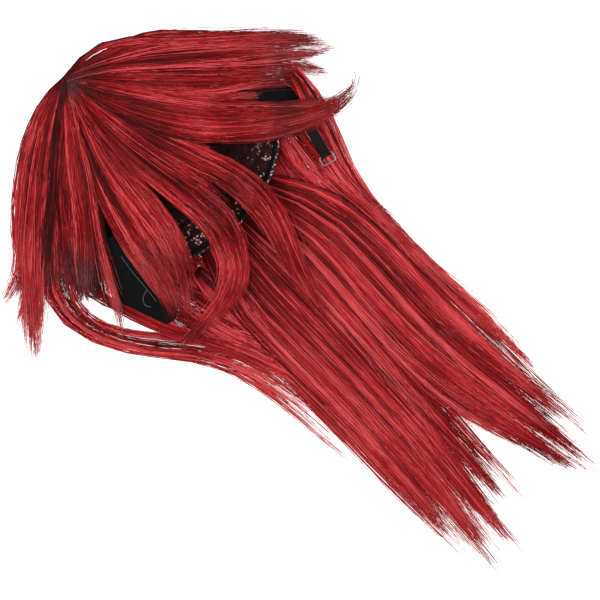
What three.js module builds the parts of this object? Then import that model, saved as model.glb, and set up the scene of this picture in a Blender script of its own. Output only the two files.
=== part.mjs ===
// A long straight cosplay wig that lies on its back, with the face opening up.
// Millimetres. X runs from the crown to the hair ends, Y to the wearer's left and Z up from the floor.
// The tables are laid out from the whorl, the point at the crown that the short layers fan out from.

import * as THREE from "three";

const { degToRad, lerp, smoothstep } = THREE.MathUtils;

// The cap is a soft net bowl that lies flattened on the back of the head.
const CAP = {
  centre: new THREE.Vector3(115, 16, 53),
  half: new THREE.Vector3(107, 112, 45),
  squareness: 2.6,
  wall: 1.6,
  columns: 44,
  rows: 13,
};

// The mouth of the cap is a slanted plane from the nape up to the forehead edge.
const MOUTH = { napeX: 222, napeZ: 24, foreheadX: 95, foreheadZ: 93 };

// Ribbons sewn inside the rim: where they run round the mouth from the left ear towards the forehead,
// and how deep they go from its edge.
const RIM_PIECES = [
  { name: "forehead_band", fromDeg: 10, toDeg: 170, depthDeg: 7, columns: 15 },
  { name: "nape_band", fromDeg: 190, toDeg: 350, depthDeg: 6, columns: 15 },
];
const RIM_RIBBON = { gap: 1, thickness: 1.1, rows: 3 };

// Soft ear tabs sewn to the rim and folded out under the short layers: rounded flaps, in plan.
const EAR_TABS = [
  { name: "ear_tab_right", centreX: 184, centreY: -92, halfLength: 50, halfWidth: 25, turnDeg: -8 },
  { name: "ear_tab_left", centreX: 164, centreY: 124, halfLength: 36, halfWidth: 20, turnDeg: 0 },
];
const EAR_TAB = { below: 4.5, thickness: 1.2, roundness: 0.4, rows: 5, columns: 9 };

// Rows of sewn hair tracks inside the back of the cap, side by side from the nape to the crown.
const WEFT = {
  count: 6,
  firstDeg: 97,
  stepDeg: 9,
  widthDeg: 2.2,
  fromDeg: 218,
  toDeg: 322,
  thickness: 1.2,
  columns: 12,
};

// Elastic strap that tightens the nape, with a wire hook in the eye at its end.
const STRAP = {
  rootX: 203,
  rootY: 126,
  rootZ: 38,
  run: 25,
  drop: 20,
  width: 10,
  thickness: 1.2,
  turnDeg: -16,
  steps: 5,
  eyeShare: 0.88,
};
const EYE = { hole: 1.4, rim: 1.1, steps: 14 };
const HOOK = { halfWidth: 7, halfLength: 4.4, wire: 0.8, squareness: 6, steps: 24, sides: 8 };

// The whorl, and the ring round it where the locks begin.
const WHORL = { x: 0, y: 0, z: 72, ring: 12 };

// The short layers drape over the head form and fall to the floor at both sides.
const DRAPE = {
  centreX: 95,
  centreY: 16,
  crownReach: 98,
  napeReach: 100,
  sideReach: 134,
  top: 106,
  halfFall: 1.16,
  steepness: 5,
  floorLift: 2,
  bedLift: 18,
  bedFromX: 205,
  bedToX: 245,
  bedY: 20,
  bedInner: 75,
  bedOuter: 105,
};

// Short layers and fringe: heading at the whorl and how far it turns, with the turn late where late is high.
// Locks of level 1 lie on those of level 0.
const LAYERS = [
  { name: "layer_right_1", headDeg: -79, turnDeg: 32, late: 0.5, length: 238, halfWidth: 14, level: 0 },
  { name: "layer_right_2", headDeg: -78, turnDeg: 33, late: 0.5, length: 250, halfWidth: 19, level: 1 },
  { name: "layer_right_3", headDeg: -68, turnDeg: 23, late: 0.5, length: 274, halfWidth: 18, level: 0 },
  { name: "layer_right_4", headDeg: -58, turnDeg: 10, late: 1, length: 218, halfWidth: 16, level: 1 },
  { name: "layer_right_5", headDeg: -48, turnDeg: 4, late: 1, length: 200, halfWidth: 13, level: 0 },
  { name: "layer_right_wisp", headDeg: -36, turnDeg: 3, late: 1, length: 246, halfWidth: 5, level: 1 },
  { name: "fringe_1", headDeg: -26, turnDeg: 12, late: 1, length: 256, halfWidth: 12, level: 0 },
  { name: "fringe_2", headDeg: -12, turnDeg: -72, late: 6, length: 292, halfWidth: 16, level: 1 },
  { name: "fringe_3", headDeg: 2, turnDeg: -99, late: 4.2, length: 312, halfWidth: 17, level: 0 },
  { name: "fringe_4", headDeg: 7, turnDeg: -90, late: 4, length: 308, halfWidth: 14, level: 1 },
  { name: "fringe_wide", headDeg: 15, turnDeg: -50, late: 2.5, length: 352, halfWidth: 16, level: 0 },
  { name: "layer_left_curl", headDeg: 15, turnDeg: 84, late: 1.8, length: 303, halfWidth: 11, level: 1 },
  { name: "layer_left_1", headDeg: 26, turnDeg: 40, late: 1, length: 248, halfWidth: 18, level: 0 },
  { name: "layer_left_2", headDeg: 38, turnDeg: 18, late: 1, length: 246, halfWidth: 18, level: 1 },
  { name: "layer_left_3", headDeg: 56, turnDeg: -12, late: 0.5, length: 252, halfWidth: 16, level: 0 },
  { name: "layer_left_4", headDeg: 65, turnDeg: -24, late: 0.5, length: 254, halfWidth: 14, level: 1 },
];
const LAYER = {
  stations: 12,
  settled: 0.92,
  firstLift: 1,
  pitch: 7,
  thickness: 6,
  rootThickness: 2.4,
  tipThickness: 2,
  gap: 0.5,
  swell: 80,
  taper: 90,
};

// Long back hair on the floor, lane by lane from the wearer's right: Y at the nape and half way, and the tip.
const NAPE_X = 250;
const HALFWAY_X = 440;
const BACK_LANES = [
  { napeY: -50, halfwayY: -54, tipX: 597, tipY: -62 },
  { napeY: -30, halfwayY: -37, tipX: 620, tipY: -53 },
  { napeY: -9, halfwayY: -18, tipX: 612, tipY: -38 },
  { napeY: 13, halfwayY: 2, tipX: 635, tipY: -23 },
  { napeY: 34, halfwayY: 22, tipX: 606, tipY: 14 },
  { napeY: 56, halfwayY: 49, tipX: 638, tipY: 68 },
  { napeY: 78, halfwayY: 73, tipX: 632, tipY: 84 },
  { napeY: 99, halfwayY: 96, tipX: 604, tipY: 103 },
];
const BACK = {
  fromDeg: 196,
  toDeg: 344,
  firstDeg: 9,
  lastDeg: 122,
  wraps: 9,
  spanSteps: 3,
  clear: 1.7,
  capGap: 1.6,
  gap: 0.5,
  rootThickness: 2.4,
  capThickness: 6,
  thickness: 8,
  tipThickness: 3,
  halfWidth: 14,
  swell: 40,
  taper: 150,
};

// Nape hair is rooted under the nape rim and lies on the back hair.
const NAPE_LANES = [
  { napeY: -40, halfwayY: -46, tipX: 560, tipY: -57 },
  { napeY: -20, halfwayY: -28, tipX: 600, tipY: -47 },
  { napeY: 2, halfwayY: -8, tipX: 606, tipY: -25 },
  { napeY: 24, halfwayY: 12, tipX: 580, tipY: 3 },
  { napeY: 46, halfwayY: 37, tipX: 618, tipY: 69 },
  { napeY: 67, halfwayY: 61, tipX: 612, tipY: 83 },
  { napeY: 88, halfwayY: 85, tipX: 575, tipY: 98 },
];
const NAPE = {
  rootX: 204,
  rootGather: 0.86,
  rootReach: 0.99,
  clear: 1.2,
  landX: 266,
  lift: 8.8,
  tipLift: 5.6,
  thickness: 7,
  tipThickness: 2.4,
  gap: 0.5,
  halfWidth: 14,
  stations: 10,
  swell: 20,
  taper: 150,
};

// Side hair comes out from under the short layers and runs along the floor beside the back hair.
const SIDE_LOCKS = [
  {
    name: "side_lock_right",
    halfWidth: 9,
    route: [
      { x: 92, y: -107, z: 58 },
      { x: 128, y: -146, z: 16 },
      { x: 174, y: -160, z: 0 },
      { x: 219, y: -139, z: 0 },
      { x: 275, y: -98, z: 0 },
      { x: 330, y: -75, z: 0 },
      { x: 438, y: -73, z: 0 },
    ],
  },
  {
    name: "side_lock_left",
    halfWidth: 9,
    route: [
      { x: 110, y: 143, z: 56 },
      { x: 160, y: 153, z: 22 },
      { x: 204, y: 142, z: 0 },
      { x: 259, y: 121, z: 0 },
      { x: 325, y: 114, z: 0 },
      { x: 408, y: 116, z: 0 },
      { x: 472, y: 122, z: 0 },
    ],
  },
];
const SIDE = {
  gap: 0.5,
  thickness: 6,
  rootThickness: 3,
  tipThickness: 2,
  stations: 14,
  swell: 60,
  taper: 150,
};

// A lock's section: flat below and rounded above.
const LOCK_SECTION = [
  { across: -1, through: 0.35 },
  { across: -0.62, through: 0 },
  { across: 0.62, through: 0 },
  { across: 1, through: 0.35 },
  { across: 0.6, through: 0.86 },
  { across: 0, through: 1 },
  { across: -0.6, through: 0.86 },
];

// Shares of the full width that a lock has at its root and at its tip.
const ENDS = { root: 0.5, tip: 0.1 };

const FIBRE = new THREE.Color(0x961620);
const NET = new THREE.Color(0x121012);
const STEEL = new THREE.Color(0xb9b9bd);

const UP = new THREE.Vector3(0, 0, 1);
const JOIN_WITHIN = 1e-4;

/** A closed geometry from corner points and triangles, with like corners joined and faces turned out. */
function solidGeometry(points, triangles) {
  const seen = new Map();
  const corners = [];
  const joined = points.map((point) => {
    const key = point.toArray().map((value) => Math.round(value / JOIN_WITHIN)).join();
    if (!seen.has(key)) {
      seen.set(key, corners.length);
      corners.push(point);
    }
    return seen.get(key);
  });
  const faces = triangles
    .map((triangle) => triangle.map((index) => joined[index]))
    .filter(([a, b, c]) => a !== b && b !== c && c !== a);
  const volume = faces.reduce((sum, [a, b, c]) => {
    return sum + corners[a].dot(new THREE.Vector3().crossVectors(corners[b], corners[c]));
  }, 0);
  const outward = volume > 0 ? faces : faces.map(([a, b, c]) => [a, c, b]);
  const geometry = new THREE.BufferGeometry().setFromPoints(corners);
  geometry.setIndex(outward.flat());
  geometry.computeVertexNormals();
  return geometry;
}

/** Triangles of a grid of corners numbered row by row, joined round in either direction where asked. */
function gridTriangles(rows, columns, { wrapRows = false, wrapColumns = false } = {}) {
  const triangles = [];
  for (let row = 0; row < rows - (wrapRows ? 0 : 1); row += 1) {
    for (let column = 0; column < columns - (wrapColumns ? 0 : 1); column += 1) {
      const nextRow = (row + 1) % rows;
      const nextColumn = (column + 1) % columns;
      const a = row * columns + column;
      const b = row * columns + nextColumn;
      const c = nextRow * columns + nextColumn;
      const d = nextRow * columns + column;
      triangles.push([a, b, c], [a, c, d]);
    }
  }
  return triangles;
}

/** A body through rings of equal count: with flat ends, or closed into a loop. */
function loftGeometry(rings, { loop = false } = {}) {
  const columns = rings[0].length;
  const triangles = gridTriangles(rings.length, columns, { wrapRows: loop, wrapColumns: true });
  if (!loop) {
    const last = (rings.length - 1) * columns;
    for (let column = 1; column < columns - 1; column += 1) {
      triangles.push([0, column + 1, column], [last, last + column, last + column + 1]);
    }
  }
  return solidGeometry(rings.flat(), triangles);
}

/** A wall between an outer and an inner grid of the same size, closed along its free edges. */
function wallGeometry(outer, inner, { wrapColumns = false } = {}) {
  const rows = outer.length;
  const columns = outer[0].length;
  const inside = rows * columns;
  const skin = gridTriangles(rows, columns, { wrapColumns });
  const triangles = [...skin, ...skin.map(([a, b, c]) => [a + inside, c + inside, b + inside])];
  const edge = (a, b) => triangles.push([b, a, a + inside], [b, a + inside, b + inside]);
  for (let column = 0; column < columns - (wrapColumns ? 0 : 1); column += 1) {
    const next = (column + 1) % columns;
    edge(column, next);
    edge(inside - columns + next, inside - columns + column);
  }
  for (let row = 0; row < rows - 1 && !wrapColumns; row += 1) {
    edge((row + 1) * columns, row * columns);
    edge(row * columns + columns - 1, (row + 1) * columns + columns - 1);
  }
  return solidGeometry([...outer.flat(), ...inner.flat()], triangles);
}

/** A point of the cap's outer face in a direction of its unit form, moved out by offset. */
function capPoint(direction, offset) {
  const power = CAP.squareness;
  const level = Math.hypot(direction.x, direction.y);
  const scale = (level ** power + Math.abs(direction.z) ** power) ** (-1 / power);
  const unit = direction.clone().multiplyScalar(scale);
  const flat = Math.hypot(unit.x, unit.y) ** (power - 2);
  const steep = Math.abs(unit.z) ** (power - 2);
  const normal = new THREE.Vector3(unit.x * flat, unit.y * flat, unit.z * steep).divide(CAP.half).normalize();
  return unit.multiply(CAP.half).add(CAP.centre).addScaledVector(normal, offset);
}

/** The unit form's axes at the mouth: out of the mouth, and towards the forehead edge. */
function mouthAxes() {
  const unit = (x, z) => new THREE.Vector3(x, CAP.centre.y, z).sub(CAP.centre).divide(CAP.half);
  const nape = unit(MOUTH.napeX, MOUTH.napeZ);
  const forehead = unit(MOUTH.foreheadX, MOUTH.foreheadZ).sub(nape).normalize();
  const out = new THREE.Vector3(-forehead.z, 0, forehead.x).multiplyScalar(-1);
  return { forehead, out, rimDeg: THREE.MathUtils.radToDeg(Math.acos(-out.dot(nape))) };
}

const { forehead: FOREHEAD_WAY, out: OUT_OF_MOUTH, rimDeg: RIM_DEG } = mouthAxes();
const LEFT_WAY = new THREE.Vector3(0, 1, 0);

/** A point of the cap by its angle round the mouth and its angle from the back pole. */
function bowlPoint(roundDeg, poleDeg, offset) {
  const round = degToRad(roundDeg);
  const pole = degToRad(poleDeg);
  const direction = OUT_OF_MOUTH.clone().multiplyScalar(-Math.cos(pole));
  direction.addScaledVector(LEFT_WAY, Math.sin(pole) * Math.cos(round));
  direction.addScaledVector(FOREHEAD_WAY, Math.sin(pole) * Math.sin(round));
  return capPoint(direction, offset);
}

/** A grid of the cap's face at one offset. poleAt gives the pole angle from a row's share of the rows. */
function bowlGrid({ rows, columns, fromDeg, toDeg, wrap = false }, poleAt, offset) {
  const step = (toDeg - fromDeg) / (wrap ? columns : columns - 1);
  return Array.from({ length: rows }, (_, row) => {
    return Array.from({ length: columns }, (__, column) => {
      const roundDeg = fromDeg + step * column;
      return bowlPoint(roundDeg, poleAt(row / (rows - 1)), offset);
    });
  });
}

/** The hollow net bowl. */
function capGeometry() {
  const span = { rows: CAP.rows, columns: CAP.columns, fromDeg: 0, toDeg: 360, wrap: true };
  const poleAt = (share) => share * RIM_DEG;
  const outer = bowlGrid(span, poleAt, 0);
  const inner = bowlGrid(span, poleAt, -CAP.wall);
  return wallGeometry(outer, inner, { wrapColumns: true });
}

/** A ribbon sewn inside the rim. */
function rimGeometry({ fromDeg, toDeg, depthDeg, columns }) {
  const span = { rows: RIM_RIBBON.rows, columns, fromDeg, toDeg };
  const poleAt = (share) => RIM_DEG - depthDeg * (1 - share);
  const face = -CAP.wall - RIM_RIBBON.gap;
  return wallGeometry(bowlGrid(span, poleAt, face), bowlGrid(span, poleAt, face - RIM_RIBBON.thickness));
}

/** A sewn track of hair across the back of the cap. */
function weftGeometry(row) {
  const first = WEFT.firstDeg - WEFT.stepDeg * row;
  const span = { rows: 2, columns: WEFT.columns, fromDeg: WEFT.fromDeg, toDeg: WEFT.toDeg };
  const poleAt = (share) => first - WEFT.widthDeg * (1 - share);
  const face = -CAP.wall - RIM_RIBBON.gap;
  return wallGeometry(bowlGrid(span, poleAt, face), bowlGrid(span, poleAt, face - WEFT.thickness));
}

/** An ear tab: a rounded flap that lies over the rim, just below the drape of the short layers. */
function earTabGeometry({ centreX, centreY, halfLength, halfWidth, turnDeg }) {
  const turn = degToRad(turnDeg);
  const face = (offset) => Array.from({ length: EAR_TAB.rows }, (_, row) => {
    return Array.from({ length: EAR_TAB.columns }, (__, column) => {
      const along = (2 * column + 1) / EAR_TAB.columns - 1;
      const across = (2 * row) / (EAR_TAB.rows - 1) - 1;
      const spot = new THREE.Vector2(
        along * halfLength,
        across * halfWidth * (1 - along * along) ** EAR_TAB.roundness,
      ).rotateAround(new THREE.Vector2(), turn);
      return drapePoint(centreX + spot.x, centreY + spot.y, offset);
    });
  });
  return wallGeometry(face(-EAR_TAB.below), face(-EAR_TAB.below - EAR_TAB.thickness));
}

/** The strap's side view, along and up from its root, with a round eye at its end. */
function strapGeometry() {
  const eye = new THREE.Vector2(STRAP.run, -STRAP.drop);
  const reach = EYE.hole + EYE.rim;
  const middle = new THREE.QuadraticBezierCurve(
    new THREE.Vector2(0, 0),
    new THREE.Vector2(STRAP.run / 2, 0),
    eye,
  );
  const half = STRAP.thickness / 2;
  const edge = (side) => Array.from({ length: STRAP.steps + 1 }, (_, step) => {
    const share = (STRAP.eyeShare * step) / STRAP.steps;
    const along = middle.getTangent(share);
    return middle.getPoint(share).add(new THREE.Vector2(-along.y, along.x).multiplyScalar(side * half));
  });
  const below = edge(-1);
  const above = edge(1);
  const angleTo = (point) => Math.atan2(point.y - eye.y, point.x - eye.x);
  const start = angleTo(below.at(-1));
  const end = angleTo(above.at(-1));
  const sweep = (end - start + Math.PI * 2) % (Math.PI * 2);
  const round = Array.from({ length: EYE.steps + 1 }, (_, step) => {
    const angle = start + (sweep * step) / EYE.steps;
    return new THREE.Vector2(Math.cos(angle), Math.sin(angle)).multiplyScalar(reach).add(eye);
  });
  const outline = new THREE.Shape([...below.slice(0, -1), ...round, ...above.slice(0, -1).reverse()]);
  const hole = new THREE.Path();
  hole.absarc(eye.x, eye.y, EYE.hole, 0, Math.PI * 2, true);
  outline.holes.push(hole);
  return new THREE.ExtrudeGeometry(outline, {
    depth: STRAP.width,
    bevelEnabled: false,
    curveSegments: EYE.steps,
  });
}

/** The wire hook: a loop with straight bars, whose near bar lies at the origin across Y. */
function hookGeometry() {
  const signed = (value, power) => Math.sign(value) * Math.abs(value) ** power;
  const bent = (value) => signed(value, 2 / HOOK.squareness);
  const leaning = (value) => signed(value, HOOK.squareness - 1);
  const rings = Array.from({ length: HOOK.steps }, (_, step) => {
    const turn = ((step + 0.5) / HOOK.steps) * Math.PI * 2;
    const across = bent(Math.sin(turn));
    const along = bent(Math.cos(turn));
    const centre = new THREE.Vector3((along + 1) * HOOK.halfLength, across * HOOK.halfWidth, 0);
    const slope = new THREE.Vector3(
      leaning(along) / HOOK.halfLength,
      leaning(across) / HOOK.halfWidth,
      0,
    ).normalize();
    return Array.from({ length: HOOK.sides }, (__, side) => {
      const angle = (side / HOOK.sides) * Math.PI * 2;
      return centre.clone()
        .addScaledVector(slope, Math.cos(angle) * HOOK.wire)
        .addScaledVector(UP, Math.sin(angle) * HOOK.wire);
    });
  });
  return loftGeometry(rings, { loop: true });
}

/** The height that the short layers drape at. */
function drapeHeight(x, y) {
  const reach = x < DRAPE.centreX ? DRAPE.crownReach : DRAPE.napeReach;
  const spread = Math.hypot((x - DRAPE.centreX) / reach, (y - DRAPE.centreY) / DRAPE.sideReach);
  const fall = 1 / (1 + (spread / DRAPE.halfFall) ** DRAPE.steepness);
  const overBed = smoothstep(x, DRAPE.bedFromX, DRAPE.bedToX)
    * (1 - smoothstep(Math.abs(y - DRAPE.bedY), DRAPE.bedInner, DRAPE.bedOuter));
  const base = DRAPE.floorLift + DRAPE.bedLift * overBed;
  return base + (DRAPE.top - base) * fall;
}

/** A point over the drape, moved out along its normal. */
function drapePoint(x, y, offset) {
  const step = 0.5;
  const slopeX = (drapeHeight(x + step, y) - drapeHeight(x - step, y)) / (2 * step);
  const slopeY = (drapeHeight(x, y + step) - drapeHeight(x, y - step)) / (2 * step);
  const normal = new THREE.Vector3(-slopeX, -slopeY, 1).normalize();
  return new THREE.Vector3(x, y, drapeHeight(x, y)).addScaledVector(normal, offset);
}

/** The distance from the first station to each station along a route. */
function distancesAlong(points) {
  let sum = 0;
  return points.map((point, index) => {
    sum += index ? point.distanceTo(points[index - 1]) : 0;
    return sum;
  });
}

/** How full a lock is at a distance from its root and from its tip: it swells out and tapers to a point. */
function fullness(fromRoot, toTip, { swell, taper }) {
  return { swollen: smoothstep(fromRoot, 0, swell), whole: smoothstep(toTip, 0, taper) };
}

/** The share of its full width that a lock has. */
function widthShare({ swollen, whole }) {
  return lerp(ENDS.root, 1, swollen) * lerp(ENDS.tip, 1, whole);
}

/** The least distance from a point to other routes. */
function nearestOf(point, routes) {
  const near = new THREE.Vector3();
  const distances = routes.flatMap((route) => route.slice(1).map((end, index) => {
    return new THREE.Line3(route[index], end).closestPointToPoint(point, true, near).distanceTo(point);
  }));
  return Math.min(Infinity, ...distances);
}

/** The plan route of a short layer, as evenly spaced stations. */
function layerRoute({ headDeg, turnDeg, late, length }) {
  const fine = 8;
  const steps = (LAYER.stations - 1) * fine;
  const first = degToRad(headDeg);
  const here = new THREE.Vector3(Math.cos(first), Math.sin(first), 0).multiplyScalar(WHORL.ring);
  here.x += WHORL.x;
  here.y += WHORL.y;
  const route = [here.clone()];
  for (let step = 0; step < steps; step += 1) {
    const share = Math.min((step + 0.5) / steps / LAYER.settled, 1);
    const heading = degToRad(headDeg + turnDeg * share ** late);
    here.addScaledVector(new THREE.Vector3(Math.cos(heading), Math.sin(heading), 0), length / steps);
    route.push(here.clone());
  }
  return route;
}

/** A short layer: a pad on the drape that follows its plan route. */
function layerGeometry(row, route, sameLevel) {
  const fine = (route.length - 1) / (LAYER.stations - 1);
  const lift = LAYER.firstLift + LAYER.pitch * row.level;
  const rings = Array.from({ length: LAYER.stations }, (_, station) => {
    const index = station * fine;
    const fromRoot = (row.length * index) / (route.length - 1);
    const full = fullness(fromRoot, row.length - fromRoot, LAYER);
    const centre = route[index];
    const ahead = route[Math.min(index + 1, route.length - 1)];
    const behind = route[Math.max(index - 1, 0)];
    const side = new THREE.Vector3().crossVectors(UP, ahead.clone().sub(behind)).normalize();
    const room = nearestOf(centre, sameLevel) / 2 - LAYER.gap;
    const half = Math.min(row.halfWidth * widthShare(full), room);
    const body = lerp(LAYER.rootThickness, LAYER.thickness, full.swollen);
    const thickness = lerp(LAYER.tipThickness, body, full.whole);
    return LOCK_SECTION.map(({ across, through }) => {
      const spot = centre.clone().addScaledVector(side, across * half);
      return drapePoint(spot.x, spot.y, lift + through * thickness);
    });
  });
  return loftGeometry(rings);
}

/** Rings along a lock on the floor or on the cap, from stations with their up way and size. */
function lockGeometry(stations) {
  const rings = stations.map(({ base, up, half, thickness }, index) => {
    const ahead = stations[Math.min(index + 1, stations.length - 1)].base;
    const behind = stations[Math.max(index - 1, 0)].base;
    const along = ahead.clone().sub(behind).normalize();
    const through = up.clone().addScaledVector(along, -up.dot(along)).normalize();
    const side = new THREE.Vector3().crossVectors(through, along);
    return LOCK_SECTION.map((spot) => {
      const point = base.clone().addScaledVector(side, spot.across * half);
      point.addScaledVector(through, spot.through * thickness);
      point.z = Math.max(point.z, 0);
      return point;
    });
  });
  return loftGeometry(rings);
}

/** The whorl's pole on the cap's unit form, with the ways to its left and up from it. */
function whorlAxes() {
  const pole = new THREE.Vector3(WHORL.x, WHORL.y, WHORL.z).sub(CAP.centre).divide(CAP.half).normalize();
  const left = LEFT_WAY.clone().addScaledVector(pole, -LEFT_WAY.dot(pole)).normalize();
  return { pole, left, up: new THREE.Vector3().crossVectors(left, pole) };
}

const WHORL_WAY = whorlAxes();

/** A point of the cap by its angle round the whorl and its angle from it. */
function crownPoint(roundDeg, awayDeg, offset) {
  const round = degToRad(roundDeg);
  const away = degToRad(awayDeg);
  const direction = WHORL_WAY.pole.clone().multiplyScalar(Math.cos(away));
  direction.addScaledVector(WHORL_WAY.left, Math.sin(away) * Math.cos(round));
  direction.addScaledVector(WHORL_WAY.up, Math.sin(away) * Math.sin(round));
  return capPoint(direction, offset);
}

/** The stations of a back lane: from the whorl, under the cap and along the floor to its tip. */
function backRoute(lane, index) {
  const roundDeg = lerp(BACK.fromDeg, BACK.toDeg, index / (BACK_LANES.length - 1));
  const wraps = Array.from({ length: BACK.wraps }, (_, wrap) => {
    const share = wrap / (BACK.wraps - 1);
    const awayDeg = lerp(BACK.firstDeg, BACK.lastDeg, share);
    const thickness = lerp(BACK.rootThickness, BACK.capThickness, share);
    const base = crownPoint(roundDeg, awayDeg, BACK.clear + thickness);
    const up = crownPoint(roundDeg, awayDeg, 0).sub(base).normalize();
    return { base, up, thickness, gap: BACK.capGap };
  });
  const knots = [
    ...wraps.map(({ base }) => base),
    new THREE.Vector3(NAPE_X, lane.napeY, 0),
    new THREE.Vector3(HALFWAY_X, lane.halfwayY, 0),
    new THREE.Vector3(lane.tipX, lane.tipY, 0),
  ];
  const curve = new THREE.CatmullRomCurve3(knots, false, "centripetal");
  const spans = knots.length - wraps.length;
  const floor = Array.from({ length: spans * BACK.spanSteps }, (_, step) => {
    const span = (step + 1) / BACK.spanSteps;
    const grounded = smoothstep(span, 0, 1);
    const base = curve.getPoint((wraps.length - 1 + span) / (knots.length - 1));
    const worn = lerp(BACK.capThickness, BACK.thickness, grounded);
    return {
      base,
      up: wraps.at(-1).up.clone().lerp(UP, grounded).normalize(),
      thickness: lerp(worn, BACK.tipThickness, smoothstep(base.x, HALFWAY_X, lane.tipX)),
      gap: lerp(BACK.capGap, BACK.gap, grounded),
    };
  });
  return [...wraps, ...floor].map((station) => {
    station.base.z = Math.max(station.base.z, 0);
    return station;
  });
}

/** The stations of a nape lane: from under the nape rim down onto the back hair. */
function napeRoute(lane) {
  const rootY = CAP.centre.y + (lane.napeY - CAP.centre.y) * NAPE.rootGather;
  const away = Math.hypot((NAPE.rootX - CAP.centre.x) / CAP.half.x, (rootY - CAP.centre.y) / CAP.half.y);
  const below = (1 - Math.min(away, NAPE.rootReach) ** CAP.squareness) ** (1 / CAP.squareness);
  const rootZ = CAP.centre.z - CAP.half.z * below - NAPE.clear - NAPE.thickness;
  const curve = new THREE.CatmullRomCurve3(
    [
      new THREE.Vector3(NAPE.rootX, rootY, rootZ),
      new THREE.Vector3(NAPE.landX, lane.napeY, NAPE.lift),
      new THREE.Vector3(HALFWAY_X, lane.halfwayY, NAPE.lift),
      new THREE.Vector3(lane.tipX, lane.tipY, NAPE.tipLift),
    ],
    false,
    "centripetal",
  );
  return Array.from({ length: NAPE.stations }, (_, station) => {
    const base = curve.getPoint(station / (NAPE.stations - 1));
    const ending = smoothstep(base.x, HALFWAY_X, lane.tipX);
    base.z = Math.max(base.z, lerp(NAPE.lift, NAPE.tipLift, ending));
    return { base, up: UP, thickness: lerp(NAPE.thickness, NAPE.tipThickness, ending), gap: NAPE.gap };
  });
}

/** The stations of a side lock along its route. */
function sideRoute({ route }) {
  const points = route.map(({ x, y, z }) => new THREE.Vector3(x, y, z));
  const curve = new THREE.CatmullRomCurve3(points, false, "centripetal");
  const bases = curve.getPoints(SIDE.stations - 1);
  const along = distancesAlong(bases);
  return bases.map((base, station) => {
    const { swollen, whole } = fullness(along[station], along.at(-1) - along[station], SIDE);
    base.z = Math.max(base.z, 0);
    const body = lerp(SIDE.rootThickness, SIDE.thickness, swollen);
    return { base, up: UP, thickness: lerp(SIDE.tipThickness, body, whole), gap: SIDE.gap };
  });
}

/** Gives each station of a set of routes the half width that its neighbours leave. */
function widened(routes, { halfWidth, swell, taper }) {
  return routes.map((stations, index) => {
    const others = routes.filter((_, other) => other !== index).map((route) => route.map(({ base }) => base));
    const along = distancesAlong(stations.map(({ base }) => base));
    return stations.map((station, step) => {
      const room = nearestOf(station.base, others) / 2 - station.gap;
      const full = fullness(along[step], along.at(-1) - along[step], { swell, taper });
      return { ...station, half: Math.min(halfWidth * widthShare(full), room) };
    });
  });
}

const fibre = () => new THREE.MeshStandardMaterial({ color: FIBRE, roughness: 0.42 });
const net = () => new THREE.MeshStandardMaterial({ color: NET, roughness: 0.85 });
const steel = () => new THREE.MeshStandardMaterial({ color: STEEL, roughness: 0.25, metalness: 1 });

/** A named piece of the wig. */
function piece(name, geometry, material) {
  const mesh = new THREE.Mesh(geometry, material);
  mesh.name = name;
  return mesh;
}

/** The cap with its rim ribbons, ear tabs and sewn tracks. */
function capGroup() {
  const group = new THREE.Group();
  group.add(piece("cap_net", capGeometry(), net()));
  RIM_PIECES.forEach((row) => group.add(piece(row.name, rimGeometry(row), net())));
  EAR_TABS.forEach((row) => group.add(piece(row.name, earTabGeometry(row), net())));
  for (let row = 0; row < WEFT.count; row += 1) {
    group.add(piece(`weft_row_${row + 1}`, weftGeometry(row), net()));
  }
  return group;
}

/** The nape strap with its wire hook, turned as it lies. */
function strapGroup() {
  const group = new THREE.Group();
  const strap = piece("nape_strap", strapGeometry(), net());
  strap.rotation.x = Math.PI / 2;
  strap.position.y = STRAP.width / 2;
  const hook = piece("strap_hook", hookGeometry(), steel());
  hook.position.set(STRAP.run, 0, -STRAP.drop);
  group.add(strap, hook);
  group.position.set(STRAP.rootX, STRAP.rootY, STRAP.rootZ);
  group.rotation.z = degToRad(STRAP.turnDeg);
  return group;
}

/** The short layers and the fringe. */
function layerGroup() {
  const group = new THREE.Group();
  const routes = LAYERS.map(layerRoute);
  LAYERS.forEach((row, index) => {
    const sameLevel = routes.filter((_, other) => other !== index && LAYERS[other].level === row.level);
    group.add(piece(row.name, layerGeometry(row, routes[index], sameLevel), fibre()));
  });
  return group;
}

/** The long hair: back, nape and side locks. */
function longHairGroup() {
  const group = new THREE.Group();
  const backs = widened(BACK_LANES.map(backRoute), BACK);
  const napes = widened(NAPE_LANES.map(napeRoute), NAPE);
  backs.forEach((route, index) => group.add(piece(`back_hair_${index + 1}`, lockGeometry(route), fibre())));
  napes.forEach((route, index) => group.add(piece(`nape_hair_${index + 1}`, lockGeometry(route), fibre())));
  SIDE_LOCKS.forEach((row) => {
    const [stations] = widened([sideRoute(row)], { ...SIDE, halfWidth: row.halfWidth });
    group.add(piece(row.name, lockGeometry(stations), fibre()));
  });
  return group;
}

const wig = new THREE.Group();
wig.add(capGroup(), strapGroup(), layerGroup(), longHairGroup());

// The origin is under the middle of the whole wig, on the floor.
wig.updateMatrixWorld(true);
const extent = new THREE.Box3().setFromObject(wig, true);
const middle = extent.getCenter(new THREE.Vector3());
wig.position.set(-middle.x, -middle.y, -extent.min.z);

export default wig;
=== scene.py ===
"""Looks of a long straight red cosplay wig that lies on its back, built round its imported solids.

Lengths in the tables are millimetres from the whorl, the point at the crown that the short layers fan
out from. Marks are points of the 600 by 600 picture that the camera takes from straight above, so each
is a plan point. Everything that is built from them is placed in metres in the part's own frame.
"""

from __future__ import annotations

import logging
import math
from dataclasses import dataclass, field, replace
from enum import Enum
from typing import Protocol

import bmesh
import bpy
import numpy as np
from mathutils import Matrix, Vector

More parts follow.
